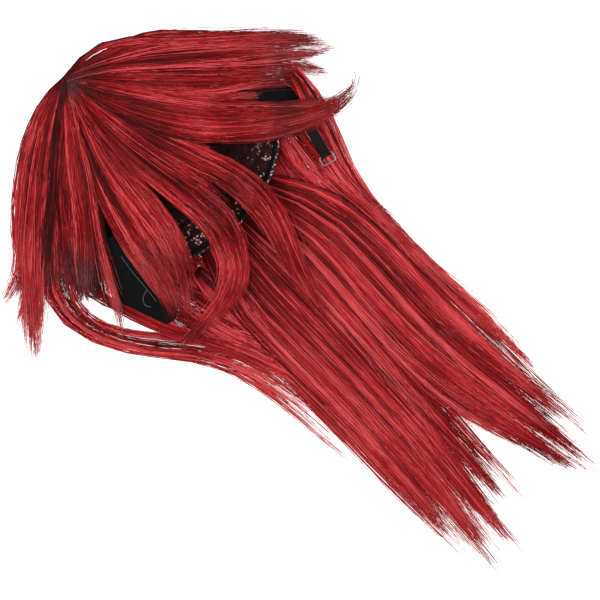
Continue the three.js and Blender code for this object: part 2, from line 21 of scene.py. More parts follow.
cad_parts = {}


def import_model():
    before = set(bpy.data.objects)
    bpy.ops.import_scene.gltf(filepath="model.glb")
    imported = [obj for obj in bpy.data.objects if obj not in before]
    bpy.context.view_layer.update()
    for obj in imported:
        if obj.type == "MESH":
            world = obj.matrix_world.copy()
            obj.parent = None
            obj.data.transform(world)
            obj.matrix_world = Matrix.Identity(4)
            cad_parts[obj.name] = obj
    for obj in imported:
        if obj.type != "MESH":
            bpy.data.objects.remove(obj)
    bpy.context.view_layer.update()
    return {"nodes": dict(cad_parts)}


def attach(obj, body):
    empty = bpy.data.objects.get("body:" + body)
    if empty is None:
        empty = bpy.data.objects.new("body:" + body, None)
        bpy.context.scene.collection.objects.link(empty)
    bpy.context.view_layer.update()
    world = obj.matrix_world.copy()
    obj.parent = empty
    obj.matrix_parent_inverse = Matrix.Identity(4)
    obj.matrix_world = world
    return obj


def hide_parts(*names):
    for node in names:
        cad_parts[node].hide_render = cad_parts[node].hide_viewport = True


LOG = logging.getLogger("wig")
MM = 0.001
TINY = 1e-9
SHORTEST = 1e-6
FINER = 3
LEFT = np.array([0.0, 1.0, 0.0])
UP = np.array([0.0, 0.0, 1.0])
Array = np.ndarray
Colour = tuple[float, float, float]
Mark = tuple[float, ...]


class Slot(Enum):
    """Material slots of the part's record."""

    HAIR = "hair_fibre"
    NET = "cap_net"
    ELASTIC = "elastic"
    TAB = "ear_tab_cloth"
    WEFT = "weft_stitching"
    STEEL = "hook_steel"


class Hold(Enum):
    """How a sheet of cloth is held."""

    LAID = "laid"
    HUNG = "hung"
    STRETCHED = "stretched"


@dataclass(frozen=True)
class Lay:
    """Where the whorl lies in the part's frame, and how the picture lies over it."""

    x: float = -316.16
    y: float = 10.58
    pixel: float = 0.95
    whorl: tuple[float, float] = (66.0, 80.0)
    roll: tuple[float, float] = (0.722, 0.692)

    def place(self, points: Array) -> Array:
        """Moves points from the whorl's frame to the part's.

        Args:
            points: Points in millimetres, last axis XYZ.

        Returns:
            The same points in metres in the part's frame.
        """
        return (points + np.array([self.x, self.y, 0.0])) * MM

    def plan(self, marks: Array) -> Array:
        """Plan points under marks of the picture.

        Args:
            marks: Marks, last axis across and down.

        Returns:
            Plan points in millimetres from the whorl.
        """
        away = (marks[..., :2] - np.array(self.whorl)) * self.pixel
        c, s = self.roll
        return np.stack([away[..., 0] * c + away[..., 1] * s, away[..., 0] * s - away[..., 1] * c], -1)


LAY = Lay()


def smooth(value: Array | float, low: float, high: float) -> Array:
    """A smooth step from 0 at low to 1 at high.

    Args:
        value: Values to map.
        low: Where the step starts.
        high: Where the step ends.

    Returns:
        The mapped values.
    """
    t = np.clip((np.asarray(value, float) - low) / (high - low), 0, 1)
    return t * t * (3 - 2 * t)


def unit(vectors: Array) -> Array:
    """Scales vectors to length one along their last axis.

    Args:
        vectors: Vectors of any leading shape.

    Returns:
        Unit vectors.
    """
    return vectors / np.maximum(np.linalg.norm(vectors, axis=-1, keepdims=True), TINY)


def nearest_route(points: Array, routes: list[Array]) -> Array:
    """The least distance from each point to any of the routes.

    Args:
        points: Points to measure from, one a row.
        routes: Polylines, one point a row.

    Returns:
        One distance a point.
    """
    least = np.full(len(points), np.inf)
    for route in routes:
        start, step = route[:-1], np.diff(route, axis=0)
        rel = points[:, None] - start[None]
        share = np.clip((rel * step).sum(-1) / np.maximum((step * step).sum(-1), TINY), 0, 1)
        away = np.linalg.norm(rel - share[..., None] * step, axis=-1).min(axis=1)
        least = np.minimum(least, away)
    return least


def spline(knots: Array, count: int) -> Array:
    """Points along a centripetal curve through the knots.

    Args:
        knots: Knots, one a row.
        count: How many points.

    Returns:
        Points, one a row.
    """
    ends = np.vstack([2 * knots[0] - knots[1], knots, 2 * knots[-1] - knots[-2]])
    where = np.linspace(0, len(knots) - 1, count)
    span = np.minimum(where.astype(int), len(knots) - 2)
    t = (where - span)[:, None]
    p0, p1, p2, p3 = (ends[span + i] for i in range(4))
    d0, d1, d2 = (
        np.maximum(np.linalg.norm(b - a, axis=1, keepdims=True), SHORTEST) ** 0.5
        for a, b in ((p0, p1), (p1, p2), (p2, p3))
    )
    m1 = ((p1 - p0) / d0 - (p2 - p0) / (d0 + d1) + (p2 - p1) / d1) * d1
    m2 = ((p2 - p1) / d1 - (p3 - p1) / (d1 + d2) + (p3 - p2) / d2) * d1
    a, b = 2 * p1 - 2 * p2 + m1 + m2, -3 * p1 + 3 * p2 - 2 * m1 - m2
    return ((a * t + b) * t + m1) * t + p1


def evenly(line: Array, count: int) -> Array:
    """The line again with points at even steps of length.

    Args:
        line: Points, one a row.
        count: How many points to give.

    Returns:
        Points, one a row.
    """
    along = np.concatenate([[0], np.cumsum(np.linalg.norm(np.diff(line, axis=0), axis=1))])
    where = np.linspace(0, along[-1], count)
    return np.stack([np.interp(where, along, line[:, i]) for i in range(line.shape[1])], -1)


def even_curve(knots: Array, count: int) -> Array:
    """Points at even steps of length along a curve through the knots.

    Args:
        knots: Knots, one a row.
        count: How many points to give.

    Returns:
        Points, one a row.
    """
    return evenly(spline(knots, FINER * count), count)


@dataclass(frozen=True)
class CapForm:
    """The net cap's bowl: a rounded form cut by the slanted plane of its mouth."""

    centre: tuple[float, float, float] = (115.0, 16.0, 53.0)
    half: tuple[float, float, float] = (107.0, 112.0, 45.0)
    squareness: float = 2.6
    wall: float = 1.6
    nape: tuple[float, float] = (222.0, 24.0)
    forehead: tuple[float, float] = (95.0, 93.0)
    whorl_height: float = 72.0
    clear: tuple[float, float] = (1.04, 1.3)

    def axes(self) -> tuple[Array, Array, float]:
        """The mouth's axes on the unit form.

        Returns:
            The way to the forehead edge, the way out of the mouth and the rim's angle from the back pole.
        """
        cx, _, cz = self.centre
        hx, _, hz = self.half
        low = np.array([(self.nape[0] - cx) / hx, 0, (self.nape[1] - cz) / hz])
        high = np.array([(self.forehead[0] - cx) / hx, 0, (self.forehead[1] - cz) / hz])
        way = unit(high - low)
        out = np.array([way[2], 0, -way[0]])
        return way, out, math.degrees(math.acos(float(-out @ low)))

    def face(self, direction: Array, offset: Array | float) -> Array:
        """Points of the bowl in directions of its unit form.

        Args:
            direction: Directions, last axis XYZ.
            offset: How far out of the face.

        Returns:
            Points in millimetres.
        """
        p = self.squareness
        level = np.hypot(direction[..., 0], direction[..., 1])
        spot = direction * ((level**p + np.abs(direction[..., 2]) ** p) ** (-1 / p))[..., None]
        flat = np.hypot(spot[..., 0], spot[..., 1]) ** (p - 2)
        steep = np.abs(spot[..., 2]) ** (p - 2)
        lean = np.stack([spot[..., 0] * flat, spot[..., 1] * flat, spot[..., 2] * steep], -1)
        normal = unit(lean / np.array(self.half))
        return spot * np.array(self.half) + np.array(self.centre) + normal * np.asarray(offset)[..., None]

    def bowl(self, round_deg: Array, pole_deg: Array, offset: Array | float) -> Array:
        """Points of the bowl by angle round the mouth and angle from the back pole.

        Args:
            round_deg: Angle from the left ear towards the forehead.
            pole_deg: Angle from the back pole.
            offset: How far out of the face.

        Returns:
            Points in millimetres.
        """
        way, out, _ = self.axes()
        r, q = np.radians(round_deg), np.radians(pole_deg)
        direction = -out * np.cos(q)[..., None] + LEFT * (np.sin(q) * np.cos(r))[..., None]
        direction = direction + way * (np.sin(q) * np.sin(r))[..., None]
        return self.face(direction, np.broadcast_to(np.asarray(offset, float), q.shape))

    def from_whorl(self, round_deg: float, away_deg: Array, offset: Array) -> Array:
        """Points of the bowl by angle round the whorl and angle from it.

        Args:
            round_deg: Angle round the whorl from the wearer's left.
            away_deg: Angles from the whorl.
            offset: How far out of the face at each.

        Returns:
            Points in millimetres.
        """
        pole = unit((UP * self.whorl_height - np.array(self.centre)) / np.array(self.half))
        left = unit(LEFT - pole * (LEFT @ pole))
        up = np.cross(left, pole)
        r, a = math.radians(round_deg), np.radians(away_deg)[:, None]
        direction = pole * np.cos(a) + left * np.sin(a) * math.cos(r) + up * np.sin(a) * math.sin(r)
        return self.face(direction, offset)

    def outside(self, x: Array, y: Array) -> Array:
        """How far plan points are clear of the cap.

        Args:
            x: Plan X.
            y: Plan Y.

        Returns:
            0 over the cap, rising to 1 well outside it.
        """
        (cx, cy, _), (hx, hy, _) = self.centre, self.half
        return smooth(np.hypot((x - cx) / hx, (y - cy) / hy), *self.clear)


CAP = CapForm()


@dataclass(frozen=True)
class Drape:
    """The form that the short layers lie over."""

    centre: tuple[float, float] = (95.0, 16.0)
    crown_reach: float = 98.0
    nape_reach: float = 100.0
    side_reach: float = 134.0
    top: float = 106.0
    half_fall: float = 1.16
    steepness: float = 5.0
    floor_lift: float = 2.0
    bed_lift: float = 18.0
    bed_start: tuple[float, float] = (205.0, 245.0)
    bed_middle: float = 20.0
    bed_edge: tuple[float, float] = (75.0, 105.0)
    probe: float = 0.5

    def height(self, x: Array, y: Array) -> Array:
        """The drape's height over plan points.

        Args:
            x: Plan X.
            y: Plan Y.

        Returns:
            Heights in millimetres.
        """
        reach = np.where(x < self.centre[0], self.crown_reach, self.nape_reach)
        spread = np.hypot((x - self.centre[0]) / reach, (y - self.centre[1]) / self.side_reach)
        fall = 1 / (1 + (spread / self.half_fall) ** self.steepness)
        bed = smooth(x, *self.bed_start) * (1 - smooth(np.abs(y - self.bed_middle), *self.bed_edge))
        base = self.floor_lift + self.bed_lift * bed
        return base + (self.top - base) * fall

    def point(self, x: Array, y: Array, offset: Array) -> Array:
        """Points over the drape, moved out along its normal.

        Args:
            x: Plan X.
            y: Plan Y.
            offset: How far out.

        Returns:
            Points in millimetres.
        """
        e = self.probe
        sx = (self.height(x + e, y) - self.height(x - e, y)) / (2 * e)
        sy = (self.height(x, y + e) - self.height(x, y - e)) / (2 * e)
        normal = unit(np.stack([-sx, -sy, np.ones_like(sx)], -1))
        return np.stack([x, y, self.height(x, y)], -1) + normal * np.asarray(offset)[..., None]


DRAPE = Drape()


class Guide(Protocol):
    """What a lock's strands follow."""

    def at(self, share: Array, across: Array, through: Array, aside: Array) -> Array:
        """Points in the lock by share of its length, place across and through it, and a shift aside."""


@dataclass(frozen=True)
class Tress:
    """One tress of a short layer: marks along it from the whorl, half widths and how it lies.

    half is its full and its tip half width, lift its height over the drape, hang how far its under
    strands fall towards the floor outside the cap, tone how much lighter it is than the rest, which below 0
    is mostly painted shade in gaps and where locks overlap, first_end the share of its length where its
    first clump ends, width its strands' width, and tip how much lighter its tips are: painted light, or
    painted shade at the lower ends where it is below 0.
    """

    marks: tuple[Mark, ...]
    half: tuple[float, float]
    lift: float
    strands: int = 230
    hang: float = 0.0
    stations: int = 11
    tone: float = 0.0
    first_end: float = 0.78
    width: float = 0.52
    tip: float = 0.3


@dataclass
class TressGuide:
    """A tress's route over the drape."""

    tress: Tress
    fine: int = 80
    root_half: float = 2.5
    full_by: float = 0.4
    taper_from: float = 0.6
    root_depth: float = 1.5
    body_depth: float = 4.5
    deep_by: float = 0.3
    thinning: float = 0.7
    thin_from: float = 0.7
    lifted_by: float = 0.25
    floor_gap: float = 1.0
    length: float = field(init=False)

    def __post_init__(self) -> None:
        """Lays the route through the marks."""
        marks = LAY.plan(np.array((LAY.whorl, *self.tress.marks), float))
        self.route = even_curve(marks, self.fine)
        self.ahead = unit(np.gradient(self.route, axis=0))
        self.length = float(np.linalg.norm(np.diff(self.route, axis=0), axis=1).sum())

    def at(self, share: Array, across: Array, through: Array, aside: Array) -> Array:
        """Points in the tress.

        Args:
            share: Share of the tress's length; past 1 runs on straight.
            across: Place across it, -1 to 1 inside.
            through: Place through it, 0 to 1 inside; below 0, how far it hangs towards the floor.
            aside: A shift aside in millimetres.

        Returns:
            Points in millimetres.
        """
        knots = np.linspace(0, 1, self.fine)
        inside = np.clip(share, 0, 1)
        way = np.stack([np.interp(inside, knots, self.ahead[:, i]) for i in range(2)], -1)
        spot = np.stack([np.interp(inside, knots, self.route[:, i]) for i in range(2)], -1)
        full, tip = self.tress.half
        half = self.root_half + (full - self.root_half) * smooth(inside, 0, self.full_by)
        half = half + (tip - half) * smooth(inside, self.taper_from, 1.0)
        off = across * half + aside
        x = spot[..., 0] + way[..., 0] * (share - inside) * self.length - way[..., 1] * off
        y = spot[..., 1] + way[..., 1] * (share - inside) * self.length + way[..., 0] * off
        thinned = 1 - self.thinning * smooth(inside, self.thin_from, 1.0)
        deep = self.root_depth + self.body_depth * smooth(inside, 0, self.deep_by) * thinned
        lift = self.tress.lift * smooth(inside, 0, self.lifted_by)
        z = DRAPE.height(x, y) + lift + np.maximum(through, 0) * deep
        hang = np.maximum(-through, 0) * CAP.outside(x, y)
        return np.stack([x, y, z + (self.floor_gap - z) * hang], -1)


@dataclass
class LaneGuide:
    """A lock that lies round the cap or along the floor."""

    base: Array
    up: Array
    half: Array
    thickness: Array
    length: float = field(init=False)
    lowest: float = 0.4

    def __post_init__(self) -> None:
        """Measures the lane and its cross directions."""
        steps = np.linalg.norm(np.diff(self.base, axis=0), axis=1)
        self.knots = np.concatenate([[0], np.cumsum(steps)])
        self.length = float(self.knots[-1])
        self.knots = self.knots / self.length
        self.ahead = unit(np.gradient(self.base, axis=0))
        self.through = unit(self.up - self.ahead * (self.up * self.ahead).sum(1, keepdims=True))
        self.side = np.cross(self.through, self.ahead)

    def at(self, share: Array, across: Array, through: Array, aside: Array) -> Array:
        """Points in the lane.

        Args:
            share: Share of the lane's length; past 1 runs on straight.
            across: Place across it, -1 to 1 inside.
            through: Place through it, 0 to 1 inside.
            aside: A shift aside in millimetres.

        Returns:
            Points in millimetres, never below the floor.
        """
        inside = np.clip(share, 0, 1)

        def row(values: Array) -> Array:
            """Values along the lane at the shares."""
            return np.interp(inside, self.knots, values)

        def vectors(values: Array) -> Array:
            """Vectors along the lane at the shares."""
            return np.stack([row(values[:, i]) for i in range(3)], -1)

        point = vectors(self.base) + vectors(self.ahead) * ((share - inside) * self.length)[..., None]
        point = point + vectors(self.side) * (across * row(self.half) + aside)[..., None]
        point = point + vectors(self.through) * (through * row(self.thickness))[..., None]
        point[..., 2] = np.maximum(point[..., 2], self.lowest)
        return point


@dataclass(frozen=True)
class StrandSpec:
    """How a lock's strands are cut and shaded.

    first_end is the share of the lock's length where its first clump ends, free the share of strands
    outside the clumps, gather how far a clump closes at its tip, and depth its span through the lock.
    wave and stray are in millimetres, and drift is how far strands wander across. tone, root and tip
    shift the shade of the whole lock, of its roots as far as root_end, and of its tips. A tone below 0 is
    mostly painted shade, root darkens the roots as painted shade, and tip lightens the tips as painted
    light, or darkens them as painted shade where it is below 0. least is the darkest shade of a tip, a
    painted light, which starts to hold at least_from.
    """

    count: int
    stations: int = 11
    width: float = 0.52
    first_end: float = 0.78
    clumps: int = 16
    free: float = 0.3
    gather: float = 0.6
    wave: float = 0.7
    stray: float = 0.35
    depth: tuple[float, float] = (0.25, 1.05)
    tone: float = 0.0
    root: float = -0.24
    root_end: float = 0.22
    tip: float = 0.3
    drift: float = 0.07
    least: float = 0.78
    least_from: float = 0.55


@dataclass
class StrandMesh:
    """Many thin closed fibres."""

    points: Array
    width: Array
    shade: Array
    run: Array
    corners: tuple[float, float, float] = (30.0, 150.0, 270.0)
    upright: float = 0.2

    def arrays(self) -> tuple[Array, Array, Array, Array, Array]:
        """The fibres as three-sided closed rods.

        Returns:
            Corners in metres, four-cornered faces, three-cornered faces, run and shade of each corner.
        """
        count, stations, _ = self.points.shape
        ahead = unit(np.gradient(self.points, axis=1))
        side = np.cross(ahead, UP)
        weak = np.linalg.norm(side, axis=-1, keepdims=True) < self.upright
        side = unit(np.where(weak, np.cross(ahead, LEFT), side))
        over = np.cross(side, ahead)
        turn = np.radians(self.corners)
        radius = (self.width / 2)[..., None]
        corner = np.stack([self.points + (side * np.cos(t) + over * np.sin(t)) * radius for t in turn], 2)
        ids = np.arange(count * stations * len(turn)).reshape(count, stations, len(turn))
        following = np.roll(ids, -1, axis=2)
        quads = np.stack([ids[:, 1:], following[:, 1:], following[:, :-1], ids[:, :-1]], -1).reshape(-1, 4)
        caps = np.concatenate([ids[:, 0], ids[:, -1, ::-1]]).reshape(-1, 3)
        run, shade = (np.broadcast_to(v[..., None], ids.shape).ravel() for v in (self.run, self.shade))
        return LAY.place(corner).reshape(-1, 3), quads, caps, run, shade


def mesh_piece(
    name: str, vertices: Array, quads: Array, triangles: Array, values: dict[str, Array] | None = None
) -> bpy.types.Object:
    """Makes a mesh object from arrays.

    Args:
        name: The piece's name.
        vertices: Corners in metres, one a row.
        quads: Four-cornered faces.
        triangles: Three-cornered faces.
        values: Named values, one a corner.

    Returns:
        The linked object.
    """
    mesh = bpy.data.meshes.new(name)
    loops = np.concatenate([quads.ravel(), triangles.ravel()]).astype(np.int32)
    sizes = np.concatenate([np.full(len(quads), 4), np.full(len(triangles), 3)]).astype(np.int32)
    starts = np.concatenate([[0], np.cumsum(sizes)[:-1]]).astype(np.int32)
    mesh.vertices.add(len(vertices))
    mesh.vertices.foreach_set("co", vertices.astype(np.float32).ravel())
    mesh.loops.add(len(loops))
    mesh.loops.foreach_set("vertex_index", loops)
    mesh.polygons.add(len(sizes))
    mesh.polygons.foreach_set("loop_start", starts)
    mesh.polygons.foreach_set("use_smooth", np.ones(len(sizes), bool))
    for label, value in (values or {}).items():
        mesh.attributes.new(label, "FLOAT", "POINT").data.foreach_set("value", value.astype(np.float32))
    mesh.update(calc_edges=True)
    mesh.validate()
    piece = bpy.data.objects.new(name, mesh)
    bpy.context.scene.collection.objects.link(piece)
    return piece


def strand_piece(name: str, bundles: list[StrandMesh]) -> bpy.types.Object:
    """Joins bundles of fibres into one mesh.

    Args:
        name: The piece's name.
        bundles: The fibres.

    Returns:
        The linked object.
    """
    rows = [bundle.arrays() for bundle in bundles]
    first = np.concatenate([[0], np.cumsum([len(row[0]) for row in rows])])
    quads = np.concatenate([row[1] + base for row, base in zip(rows, first)])
    caps = np.concatenate([row[2] + base for row, base in zip(rows, first)])
    vertices, run, shade = (np.concatenate([row[i] for row in rows]) for i in (0, 3, 4))
    return mesh_piece(name, vertices, quads, caps, {"run": run, "shade": shade})


@dataclass(frozen=True)
class Growth:
    """How fibres spread in every lock, in shares of its width, depth and length.

    Most fibres gather in clumps over a free undercoat that is painted darker, as shade. A wave is given
    by its turns along the lock and its size: the first two are a clump's, the others a fibre's own.
    """

    clump_reach: float = 0.95
    clump_shift: float = 0.6
    clump_spread: float = 1.1
    free_level: float = 0.4
    clump_level: tuple[float, float] = (0.25, 0.75)
    level_spread: float = 0.07
    end_lead: float = 0.015
    end_spread: float = 0.05
    least_end: float = 0.5
    gather_from: float = 0.4
    clump_drift: float = 1.6
    drift_span: tuple[float, float] = (0.05, 0.8)
    waves: tuple[Mark, ...] = ((5.0, 1.0), (11.0, 0.5), (8.0, 0.45), (19.0, 0.2))
    own_turn: float = 3.0
    wave_root: float = 0.25
    wave_from: float = 0.15
    stray_root: float = 0.25
    stray_tip: float = 3.0
    stray_order: float = 2.5
    most_stray: float = 7.0
    widths: tuple[float, float] = (0.7, 1.25)
    pointed: float = 0.5
    pointed_from: float = 0.75
    middle_tone: float = 0.5
    tone_size: float = 0.28
    clump_tone: float = 0.9
    own_tone: float = 0.95
    # Painted shade: strands lower in a lock, and the free undercoat, are darker.
    depth_shade: float = 1.4
    even_level: float = 0.6
    undercoat_shade: float = 0.1
    tip_from: float = 0.7
    least_by: float = 0.96
    run_span: float = 500.0
    run_spread: float = 0.05

    def strands(self, guide: Guide, spec: StrandSpec, seed: int) -> StrandMesh:
        """Lays strands along a lock.

        Args:
            guide: The lock.
            spec: How its strands are cut and shaded.
            seed: Seed of its random values.

        Returns:
            The strands.
        """
        rng = np.random.default_rng(seed)
        n, t = spec.count, np.linspace(0, 1, spec.stations)[None]
        clump = rng.integers(0, spec.clumps, n)
        free = rng.random(n) < spec.free
        middles = np.linspace(-self.clump_reach, self.clump_reach, spec.clumps)
        middles = middles + rng.normal(0, self.clump_shift / spec.clumps, spec.clumps)
        middle = np.where(free, rng.uniform(-1, 1, n), middles[clump])
        across = middle + rng.normal(0, self.clump_spread / spec.clumps, n)
        least, more = self.clump_level
        loose = rng.uniform(0, self.free_level, n)
        level = np.where(free, loose, least + more * rng.random(spec.clumps)[clump])
        low, high = spec.depth
        through = low + (high - low) * np.clip(level + rng.normal(0, self.level_spread, n), 0, 1)
        clump_end = rng.uniform(spec.first_end, 1.0, spec.clumps)[clump]
        short = np.abs(rng.normal(0, self.end_spread, n))
        end = np.clip(clump_end + self.end_lead - short, self.least_end, 1 + self.end_lead)
        share = end[:, None] * t
        tip = smooth(t, self.gather_from, 1.0)
        place = across[:, None] * (1 - spec.gather * tip) + middle[:, None] * spec.gather * tip
        drift = rng.normal(0, spec.drift, n)
        drift = drift + rng.normal(0, self.clump_drift * spec.drift, spec.clumps)[clump]
        place = place + drift[:, None] * smooth(t, *self.drift_span)
        aside = self.sway(spec, rng, clump, share)
        points = guide.at(share, place, np.broadcast_to(through[:, None], share.shape), aside)
        width = spec.width * rng.uniform(*self.widths, n)[:, None]
        width = width * (1 - self.pointed * smooth(t, self.pointed_from, 1.0))
        shade = self.shade(spec, rng, clump, level, free)
        run = rng.uniform(0, self.run_span, spec.clumps)[clump] + rng.normal(0, self.run_spread, n)
        return StrandMesh(points, np.broadcast_to(width, share.shape), shade, run[:, None] + t)

    def sway(self, spec: StrandSpec, rng: np.random.Generator, clump: Array, share: Array) -> Array:
        """How far each strand waves and strays aside.

        Args:
            spec: How the strands are cut and shaded.
            rng: Source of random values.
            clump: Each strand's clump.
            share: Shares of the lock's length along each strand.

        Returns:
            Shifts in millimetres along each strand.
        """
        t = np.linspace(0, 1, spec.stations)[None]
        phase = rng.uniform(0, 2 * math.pi, (spec.clumps, 2))[clump]
        own = rng.uniform(0, 2 * math.pi, len(clump))[:, None]
        starts = (phase[:, :1], phase[:, 1:], own, self.own_turn * own)
        wave = sum(size * np.sin(turns * share + start) for (turns, size), start in zip(self.waves, starts))
        stray = np.clip(rng.standard_t(self.stray_order, len(clump)), -self.most_stray, self.most_stray)
        loosened = self.stray_root + self.stray_tip * smooth(t, self.gather_from, 1.0) * t
        stray = stray[:, None] * spec.stray * loosened
        return spec.wave * wave * (self.wave_root + t) * smooth(t, 0, self.wave_from) + stray

    def shade(
        self, spec: StrandSpec, rng: np.random.Generator, clump: Array, level: Array, free: Array
    ) -> Array:
        """How light each strand is along it: random lightness, with painted shade low in the lock, in the
        undercoat and at the roots, and painted light at the tips.

        Args:
            spec: How the strands are cut and shaded.
            rng: Source of random values.
            clump: Each strand's clump.
            level: How high in the lock each strand lies.
            free: Whether each strand is outside the clumps.

        Returns:
            Shades along each strand.
        """
        t = np.linspace(0, 1, spec.stations)[None]
        tone = rng.normal(0, self.clump_tone, spec.clumps)[clump] + rng.normal(0, self.own_tone, len(clump))
        # Painted shade: strands lower in the lock are darker.
        tone = tone + self.depth_shade * (level - self.even_level)
        # The free undercoat is painted darker, as shade.
        shade = (self.middle_tone + spec.tone + self.tone_size * tone - self.undercoat_shade * free)[:, None]
        # Painted shade darkens the roots; painted light lightens the tips, or painted shade darkens them
        # where tip is below 0, and least keeps the tips light as painted light.
        shade = shade + spec.root * (1 - smooth(t, 0, spec.root_end))
        shade = shade + spec.tip * smooth(t, self.tip_from, 1.0)
        least = spec.least + min(spec.tone, 0.0) + min(spec.tip, 0.0)
        return np.maximum(shade, least * smooth(t, spec.least_from, self.least_by))


GROWTH = Growth()


def blank(name: str) -> tuple[bpy.types.Material, bpy.types.Nodes, bpy.types.NodeLinks, bpy.types.ShaderNode]:
    """A new node material.

    Args:
        name: The material's name.

    Returns:
        The material, its nodes, its links and its shader.
    """
    made = bpy.data.materials.new(name)
    made.use_nodes = True
    tree = made.node_tree
    return made, tree.nodes, tree.links, tree.nodes["Principled BSDF"]


def add_node(
    nodes: bpy.types.Nodes, kind: str, values: dict[str, float | tuple[float, ...]] | None = None
) -> bpy.types.ShaderNode:
    """A new node with some of its inputs set.

    Args:
        nodes: The nodes to add it to.
        kind: The node's type, without its first words.
        values: Values by the input's name.

    Returns:
        The node.
    """
    made = nodes.new("ShaderNode" + kind)
    for label, value in (values or {}).items():
        made.inputs[label].default_value = value
    return made


def join(links: bpy.types.NodeLinks, *pairs: tuple[bpy.types.NodeSocket, bpy.types.NodeSocket]) -> None:
    """Links pairs of sockets.

    Args:
        links: The tree's links.
        pairs: An output and the input that it feeds.
    """
    for output, fed in pairs:
        links.new(output, fed)


@dataclass(frozen=True)
class HairFinish:
    """Glossy dyed synthetic fibre: each strand has its own shade, with painted glints and random lightness
    along it, large patches of painted highlight and shade, and painted sheen at the palest stop.
    """

    dark: Colour = (0.020, 0.0008, 0.0011)
    middle: Colour = (0.140, 0.0042, 0.0056)
    bright: Colour = (0.36, 0.013, 0.017)
    # The palest stop is painted sheen: a highlight colour in the base colour.
    pale: Colour = (0.46, 0.055, 0.06)
    stops: tuple[float, float, float, float] = (0.08, 0.5, 0.88, 1.0)
    gloss_tint: Colour = (1.0, 0.26, 0.27)
    gloss: float = 0.36
    roughness: tuple[float, float] = (0.62, 0.30)
    ripple: float = 0.0006
    # Painted glints and random lightness along each strand, from a noise that also ripples the surface.
    patches: float = 16.0
    glint_and_tone_depth: float = 0.34
    # Large painted patches of highlight and shade, where hair would curve towards or away from the light.
    light_patch_scale: tuple[float, float, float] = (11.0, 24.0, 24.0)
    light_patch_depth: float = 0.45

    def material(self) -> bpy.types.Material:
        """The finish as a material.

        Returns:
            The material.
        """
        made, nodes, links, shader = blank("hair_fibre")
        shade, run = add_node(nodes, "Attribute"), add_node(nodes, "Attribute")
        shade.attribute_name, run.attribute_name = "shade", "run"
        patch = add_node(nodes, "TexNoise", {"Scale": self.patches})
        patch.noise_dimensions = "1D"
        # Painted glints and random lightness along each strand.
        glints_and_tone = add_node(nodes, "MapRange", {"To Min": -self.glint_and_tone_depth, "To Max": self.glint_and_tone_depth})
        # Large painted patches of highlight and shade over the part.
        place = add_node(nodes, "TexCoord")
        stretch = add_node(nodes, "Mapping", {"Scale": self.light_patch_scale})
        zone = add_node(nodes, "TexNoise", {"Scale": 1.0, "Detail": 1.0})
        light_patches = add_node(nodes, "MapRange", {"To Min": -self.light_patch_depth, "To Max": self.light_patch_depth})
        own, total = add_node(nodes, "Math"), add_node(nodes, "Math")
        ramp = add_node(nodes, "ValToRGB")
        first, second, third, last = self.stops
        start, stop = ramp.color_ramp.elements
        start.color, start.position = (*self.dark, 1), first
        # The palest stop, painted sheen.
        stop.color, stop.position = (*self.pale, 1), last
        ramp.color_ramp.elements.new(second).color = (*self.middle, 1)
        ramp.color_ramp.elements.new(third).color = (*self.bright, 1)
        dull, polished = self.roughness
        polish = add_node(nodes, "MapRange", {"From Max": second, "To Min": dull, "To Max": polished})
        bump = add_node(nodes, "Bump", {"Distance": self.ripple})
        join(
            links,
            (run.outputs["Fac"], patch.inputs["W"]),
            (patch.outputs["Fac"], glints_and_tone.inputs["Value"]),
            (place.outputs["Object"], stretch.inputs["Vector"]),
            (stretch.outputs["Vector"], zone.inputs["Vector"]),
            (zone.outputs["Fac"], light_patches.inputs["Value"]),
            (shade.outputs["Fac"], own.inputs[0]),
            (glints_and_tone.outputs["Result"], own.inputs[1]),
            (own.outputs["Value"], total.inputs[0]),
            (light_patches.outputs["Result"], total.inputs[1]),
            (total.outputs["Value"], ramp.inputs["Fac"]),
            (ramp.outputs["Color"], shader.inputs["Base Color"]),
            (patch.outputs["Fac"], bump.inputs["Height"]),
            (bump.outputs["Normal"], shader.inputs["Normal"]),
            (total.outputs["Value"], polish.inputs["Value"]),
            (polish.outputs["Result"], shader.inputs["Roughness"]),
        )
        shader.inputs["Specular IOR Level"].default_value = self.gloss
        shader.inputs["Specular Tint"].default_value = (*self.gloss_tint, 1)
        return made


@dataclass(frozen=True)
class ThreadGroup:
    """Threads round small cells, the relief that every cloth of the cap shares."""

    name: str = "cloth_threads"

    def tree(self) -> bpy.types.NodeTree:
        """The effect as a node group, built once.

        Returns:
            The group, with a colour and a height.
        """
        if self.name in bpy.data.node_groups:
            return bpy.data.node_groups[self.name]
        tree = bpy.data.node_groups.new(self.name, "ShaderNodeTree")
        for label, kind in (("Scale", "NodeSocketFloat"), ("Thread Width", "NodeSocketFloat"),
                            ("Ground", "NodeSocketColor"), ("Thread", "NodeSocketColor")):
            tree.interface.new_socket(name=label, in_out="INPUT", socket_type=kind)
        for label, kind in (("Color", "NodeSocketColor"), ("Height", "NodeSocketFloat")):
            tree.interface.new_socket(name=label, in_out="OUTPUT", socket_type=kind)
        nodes = tree.nodes
        given, out = nodes.new("NodeGroupInput"), nodes.new("NodeGroupOutput")
        place, cells = add_node(nodes, "TexCoord"), add_node(nodes, "TexVoronoi")
        cells.feature = "DISTANCE_TO_EDGE"
        mask = add_node(nodes, "MapRange", {"To Min": 1.0, "To Max": 0.0})
        mix = add_node(nodes, "Mix")
        mix.data_type = "RGBA"
        join(
            tree.links,
            (place.outputs["Object"], cells.inputs["Vector"]),
            (given.outputs["Scale"], cells.inputs["Scale"]),
            (cells.outputs["Distance"], mask.inputs["Value"]),
            (given.outputs["Thread Width"], mask.inputs["From Max"]),
            (mask.outputs["Result"], mix.inputs["Factor"]),
            (given.outputs["Ground"], mix.inputs["A"]),
            (given.outputs["Thread"], mix.inputs["B"]),
            (mix.outputs["Result"], out.inputs["Color"]),
            (mask.outputs["Result"], out.inputs["Height"]),
        )
        return tree


